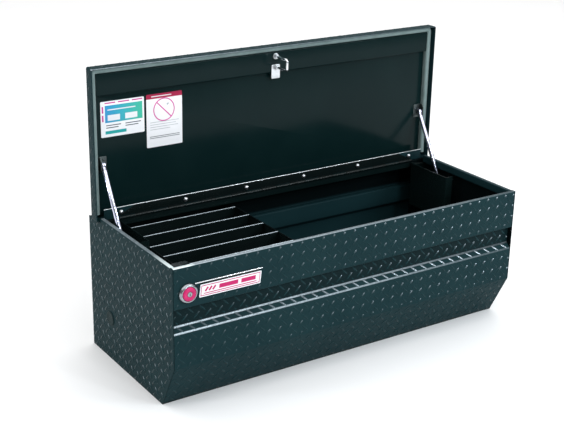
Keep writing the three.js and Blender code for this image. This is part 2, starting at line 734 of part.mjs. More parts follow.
const DIVIDER_REAR = DEPTH - 88;

// ---- assembly --------------------------------------------------------------------------------
const root = new THREE.Group();
root.name = "truck_tool_chest";
const chest = new THREE.Group();
chest.name = "chest";
chest.position.y = -DEPTH / 2;
root.add(chest);

piece(chest, "front_panel", frontPanel(), POWDER_COAT);
piece(chest, "rear_panel", rearPanel(), POWDER_COAT);
piece(chest, "floor_panel", floorPanel(), POWDER_COAT);
for (const [word, side] of SIDES) {
  piece(chest, `${word}_end_panel`, endPanel(side), POWDER_COAT);
  piece(chest, `${word}_end_guard`, endGuard(side), POWDER_COAT);
  piece(chest, `${word}_hole_plug`, holePlug(side), RUBBER);
  piece(chest, `${word}_strut_stud`, strutStud(side), ZINC);
}
piece(chest, "lock_cover", lockCover(), POWDER_COAT);
piece(chest, "lock_bezel", lockBezel(), CHROME);
piece(chest, "lock_nut", lockNut(), ZINC);
piece(chest, "push_button", pushButton(), RED_ENAMEL);
piece(chest, "lock_cylinder", lockCylinder(), CHROME);
piece(chest, "release_rod", releaseRod(), ZINC);
piece(chest, "rod_clip_outer", rodClip(-400), ZINC);
piece(chest, "rod_clip_inner", rodClip(-120), ZINC);
piece(chest, "latch_housing", latchHousing(), ZINC);
piece(chest, "latch_rotor", latchRotor(), ZINC);
piece(chest, "rotor_pin", rotorPin(), ZINC);
piece(chest, "nameplate", nameplate(), WHITE_FILM);
piece(chest, "hinge_body_leaf", hingeBodyLeaf(), POWDER_COAT);
piece(chest, "hinge_pin",
  rod([-LEAF_HALF, HINGE_Y, HINGE_Z], [LEAF_HALF, HINGE_Y, HINGE_Z], PIN_RADIUS, 16), ZINC);

piece(chest, "tray_pan", trayPan(), GLOSS_BLACK);
for (let i = 0; i < DIVIDER_COUNT; i += 1) {
  piece(chest, `tray_divider_${i + 1}`, trayDivider(i), GLOSS_BLACK);
}

for (const [word, side] of SIDES) {
  piece(chest, `${word}_strut_rod`, strutRod(side), CHROME);
  piece(chest, `${word}_strut_tube`, strutTube(side), BRIGHT_TUBE);
}

// The lid stands open: its closed layout turned a quarter turn back about the hinge pin.
const lid = new THREE.Group();
lid.name = "lid";
lid.position.set(0, HINGE_Y, HINGE_Z);
lid.rotation.x = -Math.PI / 2;
chest.add(lid);

function lidPiece(name, geometry, finish) {
  geometry.translate(0, -HINGE_Y, -HINGE_Z);
  return piece(lid, name, geometry, finish);
}

lidPiece("lid_skin", lidSkin(), POWDER_COAT);
lidPiece("lid_liner", lidLiner(), GLOSS_BLACK);
lidPiece("lid_front_channel", lidFrontChannel(), GLOSS_BLACK);
lidPiece("lid_seal", lidSeal(), SEAL_FOAM);
lidPiece("hinge_lid_leaf", hingeLidLeaf(), POWDER_COAT);
BOLT_XS.forEach((x, i) => lidPiece(`hinge_bolt_${i + 1}`, hingeBolt(x), ZINC));
lidPiece("striker_plate", strikerPlate(), ZINC);
lidPiece("striker_bail", strikerBail(), CHROME);
lidPiece("striker_nut_front", strikerNut(0), ZINC);
lidPiece("striker_nut_rear", strikerNut(1), ZINC);
lidPiece("panel_label", label(-573, -437, 92, Math.min(196, BRACKET_Y - 30)), WHITE_FILM);
lidPiece("caution_label", label(-430, -314, 90, 248), WHITE_FILM);
for (const [word, side] of SIDES) {
  lidPiece(`${word}_strut_bracket`, strutBracket(side), ZINC);
}

export default root;
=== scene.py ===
"""Visual model of a diamond-plate truck tool chest with its lid open.

Every sub-assembly is a class that builds its meshes in chest millimetres (y = 0 on the front face) and
dresses them.  The placed meshes are in metres, in the row frame of the part.
"""
import json
import logging
import math
from dataclasses import dataclass, replace
from enum import Enum
from typing import Optional, Sequence, Union

import bpy
import numpy as np
from mathutils import Matrix, Vector


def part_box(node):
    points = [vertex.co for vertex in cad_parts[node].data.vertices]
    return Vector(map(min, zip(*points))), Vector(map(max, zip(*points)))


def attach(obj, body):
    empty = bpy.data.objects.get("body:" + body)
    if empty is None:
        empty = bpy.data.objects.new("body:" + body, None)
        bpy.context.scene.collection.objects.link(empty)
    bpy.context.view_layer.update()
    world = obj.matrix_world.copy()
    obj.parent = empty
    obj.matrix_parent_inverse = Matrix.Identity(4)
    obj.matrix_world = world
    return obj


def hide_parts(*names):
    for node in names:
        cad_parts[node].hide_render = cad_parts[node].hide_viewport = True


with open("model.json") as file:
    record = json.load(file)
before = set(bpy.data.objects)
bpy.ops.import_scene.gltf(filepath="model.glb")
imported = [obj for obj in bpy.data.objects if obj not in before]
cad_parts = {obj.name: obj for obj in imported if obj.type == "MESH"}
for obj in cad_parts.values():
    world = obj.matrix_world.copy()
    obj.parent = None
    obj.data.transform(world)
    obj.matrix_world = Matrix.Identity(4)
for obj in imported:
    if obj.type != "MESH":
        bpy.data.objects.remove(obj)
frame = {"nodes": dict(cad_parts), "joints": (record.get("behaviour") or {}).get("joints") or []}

Array = np.ndarray
Colour = tuple[float, float, float]
Point = tuple[float, float, float]
log = logging.getLogger("tool_chest")

MM = 0.001
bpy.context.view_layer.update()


# ---- where things are ------------------------------------------------------------------------
def joint(name: str) -> dict:
    """Gives the joint of that name.

    Args:
        name: the joint's name.

    Returns:
        Its entry in the part's record.
    """
    return next(j for j in frame["joints"] if j["name"] == name)


@dataclass(frozen=True)
class Axes:
    """A local frame in millimetres: place() turns local points into row-frame metres."""

    origin: Point = (0.0, 0.0, 0.0)
    u: Point = (1.0, 0.0, 0.0)
    v: Point = (0.0, 1.0, 0.0)
    w: Point = (0.0, 0.0, 1.0)

    def place(self, points: Array) -> Array:
        """Origin plus each local coordinate times its axis, in metres."""
        basis = np.array([self.u, self.v, self.w])
        return (np.asarray(points, float) @ basis + np.array(self.origin)) * MM

    def within(self, origin: Point, u: Point, v: Point, w: Point) -> "Axes":
        """Gives the frame whose origin and axes are stated in this frame.

        Args:
            origin: the new origin, in this frame's millimetres.
            u: the new first axis, in this frame.
            v: the new second axis, in this frame.
            w: the new third axis, in this frame.

        Returns:
            The combined frame.
        """
        basis = np.array([self.u, self.v, self.w])
        start = np.array(origin) @ basis + np.array(self.origin)
        turned = [tuple(np.array(a) @ basis) for a in (u, v, w)]
        return Axes(tuple(start), *turned)

    def facing(self, way: "Facing", *origin: float) -> "Axes":
        """The frame of a face that looks that way, with its origin stated in this frame."""
        return self.within(origin, *way.value)


class Facing(Enum):
    """Ways that a face looks: its frame's three axes, w out of the face."""

    TOP = ((1, 0, 0), (0, 1, 0), (0, 0, 1))
    FRONT = ((1, 0, 0), (0, 0, 1), (0, -1, 0))
    REAR = ((-1, 0, 0), (0, 0, 1), (0, 1, 0))
    RIGHT = ((0, 1, 0), (0, 0, 1), (1, 0, 0))


class Layout:
    """The chest's main sizes in millimetres, read from the part's own boxes and joints."""

    def __init__(self) -> None:
        """Reads boxes and joint places."""
        end_low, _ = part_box("left_end_panel")
        _, rear_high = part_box("rear_panel")
        _, front_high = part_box("front_panel")
        hinge = joint("lid_hinge")["pos_m"]
        self.half = -end_low.x / MM
        self.depth = 2 * rear_high.y / MM
        self.height = front_high.z / MM
        self.deck = rear_high.z / MM
        self.hinge_y = hinge[1] / MM + self.depth / 2
        self.hinge_z = hinge[2] / MM
        self.chest = Axes((0.0, -self.depth / 2, 0.0))
        self.lid = Axes(
            (0.0, self.hinge_y - self.hinge_z - self.depth / 2, self.hinge_z + self.hinge_y),
            (1.0, 0.0, 0.0), (0.0, 0.0, -1.0), (0.0, 1.0, 0.0))


PLAN = Layout()
SHEET = 2.5
SEAM = 0.2
BEND = 4.0


# ---- surfaces --------------------------------------------------------------------------------
@dataclass
class Shell:
    """Vertices and faces of one closed surface, or of several joined."""

    verts: Array
    faces: list[Sequence[int]]

    def volume(self) -> float:
        """Sum over each face's fan of triangles of the signed tetrahedra to the origin."""
        centre = self.verts.mean(0)
        total = 0.0
        by_size: dict[int, list[Sequence[int]]] = {}
        for face in self.faces:
            by_size.setdefault(len(face), []).append(face)
        for size, group in by_size.items():
            corners = self.verts[np.array(group)] - centre
            for k in range(1, size - 1):
                cross = np.cross(corners[:, k], corners[:, k + 1])
                total += float((corners[:, 0] * cross).sum())
        return total / 6

    def outward(self) -> "Shell":
        """The same shell with its faces turned to enclose a positive volume."""
        if self.volume() < 0:
            return Shell(self.verts, [tuple(reversed(f)) for f in self.faces])
        return self

    def mirrored(self) -> "Shell":
        """The shell reflected in x, still facing outwards."""
        return Shell(self.verts * np.array([-1.0, 1.0, 1.0]), [tuple(reversed(f)) for f in self.faces])


def joined(shells: Sequence[Shell]) -> Shell:
    """Puts several shells in one.

    Args:
        shells: the shells, in one frame.

    Returns:
        One shell with all their vertices and faces.
    """
    faces: list[Sequence[int]] = []
    start = 0
    for shell in shells:
        faces.extend(tuple(i + start for i in f) for f in shell.faces)
        start += len(shell.verts)
    return Shell(np.vstack([s.verts for s in shells]), faces)


def grid_faces(rows: int, columns: int, wrap: bool) -> list[Sequence[int]]:
    """Quads of a grid of vertices stored row by row.

    Args:
        rows: number of rows.
        columns: vertices in a row.
        wrap: whether the last column joins the first.

    Returns:
        The quads as vertex indices.
    """
    index = np.arange(rows * columns).reshape(rows, columns)
    right = np.roll(index, -1, axis=1)
    last = columns if wrap else columns - 1
    quads = np.stack([index[:-1], right[:-1], right[1:], index[1:]], axis=-1)[:, :last]
    return [tuple(q) for q in quads.reshape(-1, 4).tolist()]


def loft(rings: Array, capped: bool = True) -> Shell:
    """A closed surface through rings of points: ring i joins ring i + 1 with quads.

    Args:
        rings: array (rings, points, 3).
        capped: whether the first and last ring are closed with a flat face, or joined to each other.

    Returns:
        The shell, facing outwards.
    """
    count, points, _ = rings.shape
    faces = grid_faces(count, points, True)
    if capped:
        faces.append(tuple(reversed(range(points))))
        faces.append(tuple(range((count - 1) * points, count * points)))
    else:
        last = np.arange(points) + (count - 1) * points
        first = np.arange(points)
        quads = np.stack([last, np.roll(last, -1), np.roll(first, -1), first], axis=-1)
        faces.extend(tuple(q) for q in quads.tolist())
    return Shell(rings.reshape(-1, 3), faces).outward()


def left_normals(path: Array, closed: bool) -> Array:
    """Mitre vectors: the sum of both unit left normals over one plus their dot product.

    Args:
        path: points (n, 2).
        closed: whether the last point joins the first.

    Returns:
        One vector per point; path + d * vector is the line at distance d on the left.
    """
    nxt = np.roll(path, -1, axis=0) - path
    if not closed:
        nxt[-1] = nxt[-2]
    unit = nxt / np.linalg.norm(nxt, axis=1, keepdims=True)
    ahead = np.stack([-unit[:, 1], unit[:, 0]], axis=1)
    behind = np.roll(ahead, 1, axis=0)
    if not closed:
        behind[0] = ahead[0]
        ahead[-1] = behind[-1]
    return (ahead + behind) / (1 + (ahead * behind).sum(1, keepdims=True))


def rounded(points: Sequence[tuple[float, float]], radius: float, closed: bool = False,
            steps: int = 5) -> Array:
    """A polyline with each corner replaced by an arc that meets both sides at a tangent.

    Args:
        points: corners (u, v).
        radius: the arcs' radius.
        closed: whether the last corner joins the first.
        steps: segments in each arc.

    Returns:
        The points of the rounded path.
    """
    corner = np.array(points, float)
    out = []
    count = len(corner)
    for i in range(count):
        if not closed and i in (0, count - 1):
            out.append(corner[i][None])
            continue
        before = corner[i] - corner[i - 1]
        after = corner[(i + 1) % count] - corner[i]
        a, b = before / np.linalg.norm(before), after / np.linalg.norm(after)
        turn = math.atan2(a[0] * b[1] - a[1] * b[0], float(a @ b))
        if abs(turn) < 1e-3:
            out.append(corner[i][None])
            continue
        tangent = radius * math.tan(abs(turn) / 2)
        side = math.copysign(1.0, turn) * np.array([-a[1], a[0]])
        centre = corner[i] - a * tangent + side * radius
        angle = np.linspace(0, turn, steps + 1)
        cos, sin = np.cos(angle)[:, None], np.sin(angle)[:, None]
        spoke = -side[None] * cos + np.array([side[1], -side[0]])[None] * sin
        out.append(centre + spoke * radius)
    return np.vstack(out)


def thick(path: Array, thickness: float) -> Array:
    """Closed section of a sheet: the path, and back along the line at the thickness on its left."""
    return np.vstack([path, (path + left_normals(path, False) * thickness)[::-1]])


def extruded(section: Array, start: float, end: float, axes: Axes, stations: int = 2) -> Shell:
    """Section in the frame's (u, v), carried from w = start to w = end.

    Args:
        section: closed loop (n, 2).
        start: first w.
        end: last w.
        axes: the frame.
        stations: number of rings.

    Returns:
        The closed shell, in metres.
    """
    heights = np.linspace(start, end, stations)
    rings = np.concatenate([
        np.broadcast_to(section, (stations, *section.shape)),
        np.broadcast_to(heights[:, None, None], (stations, len(section), 1))], axis=2)
    return loft(axes.place(rings))


def stacked(outline: Array, steps: Sequence[tuple[float, float]], axes: Axes) -> Shell:
    """Rings of one outline, each moved inwards by an inset and placed at a height.

    Args:
        outline: closed loop (n, 2), anticlockwise.
        steps: (inset, height) of each ring.
        axes: the frame.

    Returns:
        The closed shell, capped at both ends.
    """
    inward = left_normals(outline, True)
    rings = [np.column_stack([outline + inward * inset, np.full(len(outline), height)])
             for inset, height in steps]
    return loft(axes.place(np.array(rings)))


def plate(outline: Array, low: float, high: float, axes: Axes, fillet: float = 0.5,
          steps: int = 3) -> Shell:
    """A flat plate whose edges are quarter rounds of radius fillet.

    Args:
        outline: closed loop (n, 2), anticlockwise.
        low: lower w.
        high: upper w.
        axes: the frame.
        fillet: radius of the edges.
        steps: segments in each quarter round.

    Returns:
        The closed shell.
    """
    angle = np.linspace(0, math.pi / 2, steps + 1)
    inset = fillet * (1 - np.sin(angle))
    rise = fillet * (1 - np.cos(angle))
    lower = list(zip(inset, low + rise))
    upper = list(zip(inset[::-1], high - rise[::-1]))
    return stacked(outline, lower + upper, axes)


def corners(u0: float, u1: float, v0: float, v1: float) -> list[tuple[float, float]]:
    """The corners of a rectangle, anticlockwise."""
    return [(u0, v0), (u1, v0), (u1, v1), (u0, v1)]


def rectangle(u0: float, u1: float, v0: float, v1: float, corner: float = 1.0) -> Array:
    """An anticlockwise rectangle with round corners."""
    return rounded(corners(u0, u1, v0, v1), corner, True, 4)


def block(low: Point, high: Point, axes: Axes, fillet: float = 0.6) -> Shell:
    """A box between two corners with rounded edges."""
    outline = rectangle(low[0], high[0], low[1], high[1], max(fillet, 0.3))
    return plate(outline, low[2], high[2], axes, fillet)


def turned(profile: Sequence[tuple[float, float]], axes: Axes, segments: int = 48,
           ring: bool = False) -> Shell:
    """Profile of (radius, height) turned about the frame's w axis.

    Args:
        profile: the points; an open profile is capped flat at both ends.
        axes: the frame.
        segments: steps round the axis.
        ring: whether the profile closes on itself.

    Returns:
        The closed shell.
    """
    radius, height = np.array(profile, float).T
    angle = np.linspace(0, 2 * math.pi, segments, endpoint=False)
    rings = np.stack([
        radius[:, None] * np.cos(angle), radius[:, None] * np.sin(angle),
        np.broadcast_to(height[:, None], (len(radius), segments))], axis=2)
    return loft(axes.place(rings), capped=not ring)


def tube(path: Array, radius: Union[float, Array], flat: Point, axes: Axes, sides: int = 16) -> Shell:
    """A round bar along a path that lies in one plane.

    Each ring is centre + radius * (cos(t) * normal + sin(t) * across), where normal is the plane's
    and across is the tangent crossed with it.

    Args:
        path: centreline (n, 3) in the frame.
        radius: one radius, or one for each point.
        flat: normal of the plane that the path lies in.
        axes: the frame.
        sides: points round the bar.

    Returns:
        The closed shell.
    """
    tangent = np.gradient(path, axis=0)
    tangent /= np.linalg.norm(tangent, axis=1, keepdims=True)
    normal = np.broadcast_to(np.array(flat, float), path.shape)
    across = np.cross(tangent, normal)
    angle = np.linspace(0, 2 * math.pi, sides, endpoint=False)
    size = np.broadcast_to(np.asarray(radius, float), (len(path),))[:, None, None]
    spokes = (np.cos(angle)[None, :, None] * normal[:, None] + np.sin(angle)[None, :, None] * across[:, None])
    return loft(axes.place(path[:, None] + size * spokes))


def along(axes: Axes, base: Point, direction: Point) -> Axes:
    """A frame at base whose w axis points along direction.

    Args:
        axes: the frame that base and direction are given in.
        base: the new origin.
        direction: the new w axis.

    Returns:
        The frame for turned() and plate().
    """
    w = np.array(direction, float)
    w /= np.linalg.norm(w)
    helper = np.array([0.0, 0.0, 1.0]) if abs(w[2]) < 0.9 else np.array([1.0, 0.0, 0.0])
    u = np.cross(helper, w)
    u /= np.linalg.norm(u)
    return axes.within(base, tuple(u), tuple(np.cross(w, u)), tuple(w))


# ---- shader graph ----------------------------------------------------------------------------
class Sock:
    """A shader socket that takes part in Python arithmetic; each operation adds a Math node."""

    def __init__(self, graph: "Graph", socket: bpy.types.NodeSocket) -> None:
        """Keeps the graph and the socket."""
        self.graph = graph
        self.socket = socket

    def __add__(self, other: "Value") -> "Sock":
        """Sum."""
        return self.graph.math("ADD", self, other)

    def __radd__(self, other: float) -> "Sock":
        """Sum, reflected."""
        return self.graph.math("ADD", other, self)

    def __sub__(self, other: "Value") -> "Sock":
        """Difference."""
        return self.graph.math("SUBTRACT", self, other)

    def __rsub__(self, other: float) -> "Sock":
        """Difference, reflected."""
        return self.graph.math("SUBTRACT", other, self)

    def __mul__(self, other: "Value") -> "Sock":
        """Product."""
        return self.graph.math("MULTIPLY", self, other)

    def __truediv__(self, other: "Value") -> "Sock":
        """Quotient."""
        return self.graph.math("DIVIDE", self, other)

    def __abs__(self) -> "Sock":
        """Size without sign."""
        return self.graph.math("ABSOLUTE", self)

    def over(self, edge: float, blur: float) -> "Sock":
        """A mask that rises from 0 to 1 across a band of width blur centred on edge."""
        return self.graph.clamped((self - edge) / blur + 0.5)

    def under(self, edge: float, blur: float) -> "Sock":
        """A mask that falls from 1 to 0 across a band of width blur centred on edge."""
        return self.graph.clamped((edge - self) / blur + 0.5)


Value = Union[Sock, float]


class Graph:
    """A material's node tree with one Principled shader."""

    def __init__(self, name: str) -> None:
        """Makes the material and its shader.

        Args:
            name: the material's name.
        """
        self.material = bpy.data.materials.new(name)
        self.material.use_nodes = True
        self.tree = self.material.node_tree
        self.tree.nodes.clear()
        self.shader = self.tree.nodes.new("ShaderNodeBsdfPrincipled")
        output = self.tree.nodes.new("ShaderNodeOutputMaterial")
        self.tree.links.new(self.shader.outputs[0], output.inputs[0])

    def node(self, kind: str, settings: Optional[dict] = None,
             inputs: Optional[dict] = None) -> bpy.types.Node:
        """Adds a node, sets its options first, then its sockets.

        Args:
            kind: the node's type.
            settings: its options, such as a Math node's operation; "stops" fills a colour ramp.
            inputs: a value or a Sock for each named or numbered socket.

        Returns:
            The node.
        """
        node = self.tree.nodes.new(kind)
        for key, value in (settings or {}).items():
            if key == "stops":
                self.fill_ramp(node, value)
            else:
                setattr(node, key, value)
        for key, value in (inputs or {}).items():
            if isinstance(value, Sock):
                self.tree.links.new(value.socket, node.inputs[key])
            elif isinstance(value, tuple) and len(value) == 3 and node.inputs[key].type == "RGBA":
                node.inputs[key].default_value = (*value, 1.0)
            else:
                node.inputs[key].default_value = value
        return node

    @staticmethod
    def fill_ramp(node: bpy.types.Node, stops: Sequence[tuple[float, Colour]]) -> None:
        """Gives a colour ramp its stops.

        Args:
            node: the ramp.
            stops: (place, colour) of each stop.
        """
        elements = node.color_ramp.elements
        while len(elements) < len(stops):
            elements.new(1.0)
        for element, (place, colour) in zip(elements, stops):
            element.position = place
            element.color = (*colour, 1.0)

    def math(self, operation: str, *values: Value) -> Sock:
        """A Math node on those values."""
        made = self.node("ShaderNodeMath", {"operation": operation}, dict(enumerate(values)))
        return Sock(self, made.outputs[0])

    def clamped(self, value: Sock) -> Sock:
        """The value held between 0 and 1."""
        made = self.node("ShaderNodeClamp", None, {"Value": value})
        return Sock(self, made.outputs[0])

    def mix(self, first: Union[Sock, Colour], second: Union[Sock, Colour], factor: Sock) -> Sock:
        """Colour between two, by factor."""
        made = self.node("ShaderNodeMix", {"data_type": "RGBA"}, {0: factor, 6: first, 7: second})
        return Sock(self, made.outputs[2])

    def ramp(self, value: Sock, stops: Sequence[tuple[float, Colour]]) -> Sock:
        """Colour ramp over a value."""
        made = self.node("ShaderNodeValToRGB", {"stops": stops}, {0: value})
        return Sock(self, made.outputs[0])

    def place(self) -> Sock:
        """Object coordinates, in metres."""
        return Sock(self, self.node("ShaderNodeTexCoord").outputs["Object"])

    def split(self, vector: Sock) -> tuple[Sock, Sock, Sock]:
        """The vector's x, y and z."""
        made = self.node("ShaderNodeSeparateXYZ", None, {0: vector})
        return tuple(Sock(self, s) for s in made.outputs)

    def stretched(self, vector: Sock, scale: Point) -> Sock:
        """The vector times a scale on each axis."""
        made = self.node("ShaderNodeMapping", None, {"Vector": vector, "Scale": scale})
        return Sock(self, made.outputs[0])

    def noise(self, vector: Sock, scale: float, detail: float = 2.0) -> Sock:
        """Fractal noise between about 0 and 1."""
        made = self.node("ShaderNodeTexNoise", None,
                         {"Vector": vector, "Scale": scale, "Detail": detail})
        return Sock(self, made.outputs[0])

    def cells(self, vector: Sock, scale: float) -> Sock:
        """Distance to the nearest of scattered points."""
        made = self.node("ShaderNodeTexVoronoi", None, {"Vector": vector, "Scale": scale})
        return Sock(self, made.outputs["Distance"])

    def bumped(self, height: Sock, strength: float, distance: float) -> None:
        """Feeds the shader's normal from a height."""
        made = self.node("ShaderNodeBump", None,
                         {"Height": height, "Strength": strength, "Distance": distance})
        self.tree.links.new(made.outputs[0], self.shader.inputs["Normal"])

    def feed(self, **sockets: Union[Value, Colour]) -> None:
        """Sets or links the shader's sockets.

        Args:
            sockets: socket names with _ for a space, and their values.
        """
        for key, value in sockets.items():
            target = self.shader.inputs[key.replace("_", " ").title().replace("Ior", "IOR")]
            if isinstance(value, Sock):
                self.tree.links.new(value.socket, target)
            elif isinstance(value, tuple):
                target.default_value = (*value, 1.0)
            else:
                target.default_value = value


# ---- finishes --------------------------------------------------------------------------------
class Finish:
    """A finish that is built once and shared."""

    made: dict = {}

    def material(self) -> bpy.types.Material:
        """The finish's material, built at first use."""
        if self not in Finish.made:
            Finish.made[self] = self.build()
        return Finish.made[self]

    def build(self) -> bpy.types.Material:
        """Makes the material."""
        raise NotImplementedError


@dataclass(frozen=True)
class Coat(Finish):
    """Baked powder coat: a fine orange-peel skin, slow changes of tone and dusty patches.

    bends holds the heights, and their reaches, of folds that get a painted highlight: a bright metal colour
    that stands in for light glinting along each fold.  The field after bends sets how bright it is, fade dims
    it towards the right (negative) or the left (positive), and lip keeps it in front of a depth.  tips paints
    glints on the bars' marked tips and corner paints a highlight on the left front corner of the rim.  inside
    holds an axis, a distance and a lowest height: nearer the middle than that, and above that height, the
    sheet takes the shade colour, a painted shade for recesses and inner faces that light barely reaches.
    """

    name: str
    colour: Colour
    dusty: Colour
    roughness: float
    spread: float = 0.10
    peel: float = 0.12
    gloss: float = 0.25
    shine: float = 0.5
    bends: tuple[tuple[float, float], ...] = ()
    highlight_strength: float = 0.6
    fade: float = 0.0
    corner: bool = False
    tips: bool = False
    lip: Optional[float] = None
    # Painted shade: inside and shade darken recesses and inner faces that light barely reaches.
    inside: Optional[tuple[int, float, float]] = None
    shade: Colour = (0.0015, 0.004, 0.0045)

    def build(self) -> bpy.types.Material:
        """Colour and roughness follow broad noise, the normal a fine one; recesses take a painted shade and
        the bends a painted highlight.
        """
        g = Graph(self.name)
        place = g.place()
        broad = g.noise(place, 7.0, 3.0)
        fine = g.noise(place, 420.0, 2.0)
        coat = g.mix(self.colour, self.dusty, broad.over(0.55, 0.35) * 0.55)
        # Painted shade: nearer the middle than the reach, and above the lowest height, the coat takes the
        # shade colour.
        if self.inside:
            places = g.split(place)
            axis, reach, lowest = self.inside
            painted_shade = abs(places[axis]).under(reach, 0.0015) * places[2].over(lowest, 0.01)
            coat = g.mix(coat, self.shade, painted_shade)
        rough = self.roughness + (broad - 0.5) * self.spread + (fine - 0.5) * 0.08
        colour, metal = coat, 0.0
        # Painted highlights: a bright metal colour on the bends and the bars' marked tips stands in for
        # glints of light.
        if self.bends or self.tips:
            painted_highlight_mask = g.clamped(self.painted_highlight_mask(g, place)) * self.highlight_strength
            colour, metal = g.mix(coat, PAINTED_HIGHLIGHT, painted_highlight_mask), painted_highlight_mask
        # Painted highlight: a pale patch on the left front corner of the rim.
        if self.corner:
            x, y, height = g.split(place)
            corner_highlight = height.over(0.4235, 0.001) * x.under(-0.54, 0.02) * y.under(-0.19, 0.12)
            colour = g.mix(colour, CORNER_HIGHLIGHT, corner_highlight)
        g.feed(base_color=colour, metallic=metal, roughness=rough, coat_weight=self.gloss,
               coat_roughness=0.16, specular_ior_level=self.shine)
        g.bumped(fine, self.peel, 0.0006)
        return g.material

    def painted_highlight_mask(self, g: Graph, place: Sock) -> Sock:
        """Mask of the painted highlights on the bends and of the painted glints on the bars' marked tips.

        Args:
            g: the material's graph.
            place: Object coordinates.

        Returns:
            1 where a painted highlight goes.
        """
        x, y, height = g.split(place)
        streaks = g.noise(g.stretched(place, (12.0, 12.0, 60.0)), 9.0, 2.0).over(0.42, 0.4)
        mask: Value = 0.0
        for level, reach in self.bends:
            mask = abs(height - level).under(reach, 0.0012) * (streaks * 0.5 + 0.5) + mask
        # Painted glints on the marked upper tips of the bars.
        if self.tips:
            found = g.node("ShaderNodeAttribute", {"attribute_name": "rub"})
            mask = Sock(g, found.outputs["Fac"]) * (streaks * 0.4 + 0.6) + mask
        if self.lip:
            mask = mask * y.under(self.lip, 0.004)
        if self.fade:
            mask = mask * ((x * self.fade).over(0.0, 1.1) * 0.85 + 0.15)
        return mask


@dataclass(frozen=True)
class Plated(Finish):
    """Plated steel: mottled zinc or chrome with faint brushing along one axis."""

    name: str
    colour: Colour
    dull: Colour
    roughness: float
    grain: Point = (60.0, 60.0, 60.0)
    mottle: float = 0.3

    def build(self) -> bpy.types.Material:
        """Spangle from cells, streaks from stretched noise."""
        g = Graph(self.name)
        place = g.place()
        spangle = g.cells(place, 180.0)
        streak = g.noise(g.stretched(place, self.grain), 18.0, 3.0)
        tone = g.clamped(spangle * 0.6 + streak * 0.4)
        g.feed(base_color=g.mix(self.colour, self.dull, tone * self.mottle),
               roughness=self.roughness + (streak - 0.5) * 0.16 + spangle * 0.05, metallic=1.0)
        g.bumped(streak, 0.08, 0.0003)
        return g.material


@dataclass(frozen=True)
class Moulded(Finish):
    """Moulded or painted plastic: fine grain and a slight change of tone."""

    name: str
    colour: Colour
    worn: Colour
    roughness: float
    grain: float = 600.0
    depth: float = 0.1
    shine: float = 0.4

    def build(self) -> bpy.types.Material:
        """Tone from broad noise, grain from fine noise."""
        g = Graph(self.name)
        place = g.place()
        tone = g.noise(place, 30.0, 3.0)
        grain = g.noise(place, self.grain, 2.0)
        g.feed(base_color=g.mix(self.colour, self.worn, tone.over(0.55, 0.4)),
               roughness=self.roughness + (grain - 0.5) * 0.12, specular_ior_level=self.shine)
        g.bumped(grain, self.depth, 0.0004)
        return g.material


class Mark(Enum):
    """Shapes that a printed film is made of."""

    BOX = "box"
    RING = "ring"
    STROKE = "stroke"


@dataclass(frozen=True)
class Print:
    """One printed shape: its kind, its colour and its numbers in shares of the film's size.

    BOX holds u0, u1, v0, v1.  RING holds centre u, v, radius and half width, in shares of the width.
    STROKE holds u, v of both ends and the half width, in shares of the width.
    """

    mark: Mark
    colour: Colour
    numbers: tuple[float, ...]
    end_colour: Optional[Colour] = None


@dataclass(frozen=True)
class PrintedFilm(Finish):
    """Printed film: a pale ground with shapes drawn from distances in the film's own plane."""

    name: str
    ground: Colour
    prints: tuple[Print, ...]
    u_axis: int
    v_axis: int
    low: tuple[float, float]
    size: tuple[float, float]
    roughness: float = 0.4
    slant: float = 0.0

    def build(self) -> bpy.types.Material:
        """Lays each shape over the one before."""
        g = Graph(self.name)
        axes = g.split(g.place())
        rise = axes[self.v_axis] - self.low[1]
        along_u = (axes[self.u_axis] - self.low[0] - rise * self.slant) / self.size[0]
        v = rise / self.size[1]
        aspect = self.size[1] / self.size[0]
        colour: Union[Sock, Colour] = self.ground
        for item in self.prints:
            mask = self.mask(g, item, along_u, v, aspect)
            ink: Union[Sock, Colour] = item.colour
            if item.end_colour:
                ink = g.ramp(along_u, [(0.0, item.colour), (1.0, item.end_colour)])
            colour = g.mix(colour, ink, mask)
        grime = g.noise(g.place(), 55.0, 3.0)
        g.feed(base_color=colour, roughness=self.roughness + (grime - 0.5) * 0.15,
               specular_ior_level=0.3)
        g.bumped(grime, 0.04, 0.0003)
        return g.material

    def mask(self, g: Graph, item: Print, u: Sock, v: Sock, aspect: float) -> Sock:
        """Mask of one printed shape.

        Args:
            g: the material's graph.
            item: the shape.
            u: place across the film, 0 to 1.
            v: place up the film, 0 to 1.
            aspect: the film's height over its width.

        Returns:
            1 inside the shape and 0 outside.
        """
        blur = 0.004
        n = item.numbers
        if item.mark is Mark.BOX:
            return u.over(n[0], blur) * u.under(n[1], blur) * v.over(n[2], blur) * v.under(n[3], blur)
        if item.mark is Mark.RING:
            across, rise = u - n[0], (v - n[1]) * aspect
            reach = g.math("SQRT", across * across + rise * rise)
            return abs(reach - n[2]).under(n[3], blur)
        run, climb = n[2] - n[0], (n[3] - n[1]) * aspect
        length = math.hypot(run, climb)
        across, rise = u - n[0], (v - n[1]) * aspect
        forward = (across * run + rise * climb) / length
        aside = abs(across * climb - rise * run) / length
        return aside.under(n[4], blur) * forward.over(0.0, blur) * forward.under(length, blur)


# Colour of the painted highlights on the bends and on the bars' marked tips.
PAINTED_HIGHLIGHT = (0.60, 0.68, 0.74)
# Colour of the painted highlight on the rim's left front corner.
CORNER_HIGHLIGHT = (0.78, 0.88, 0.88)
# END_COAT paints shade on faces nearer the middle than 0.5988 m in x.
END_COAT = Coat("tread_coat_ends", (0.0075, 0.025, 0.029), (0.011, 0.033, 0.037), 0.45, 0.08, 0.1, 0.0,
                0.035, inside=(0, 0.5988, -1.0))
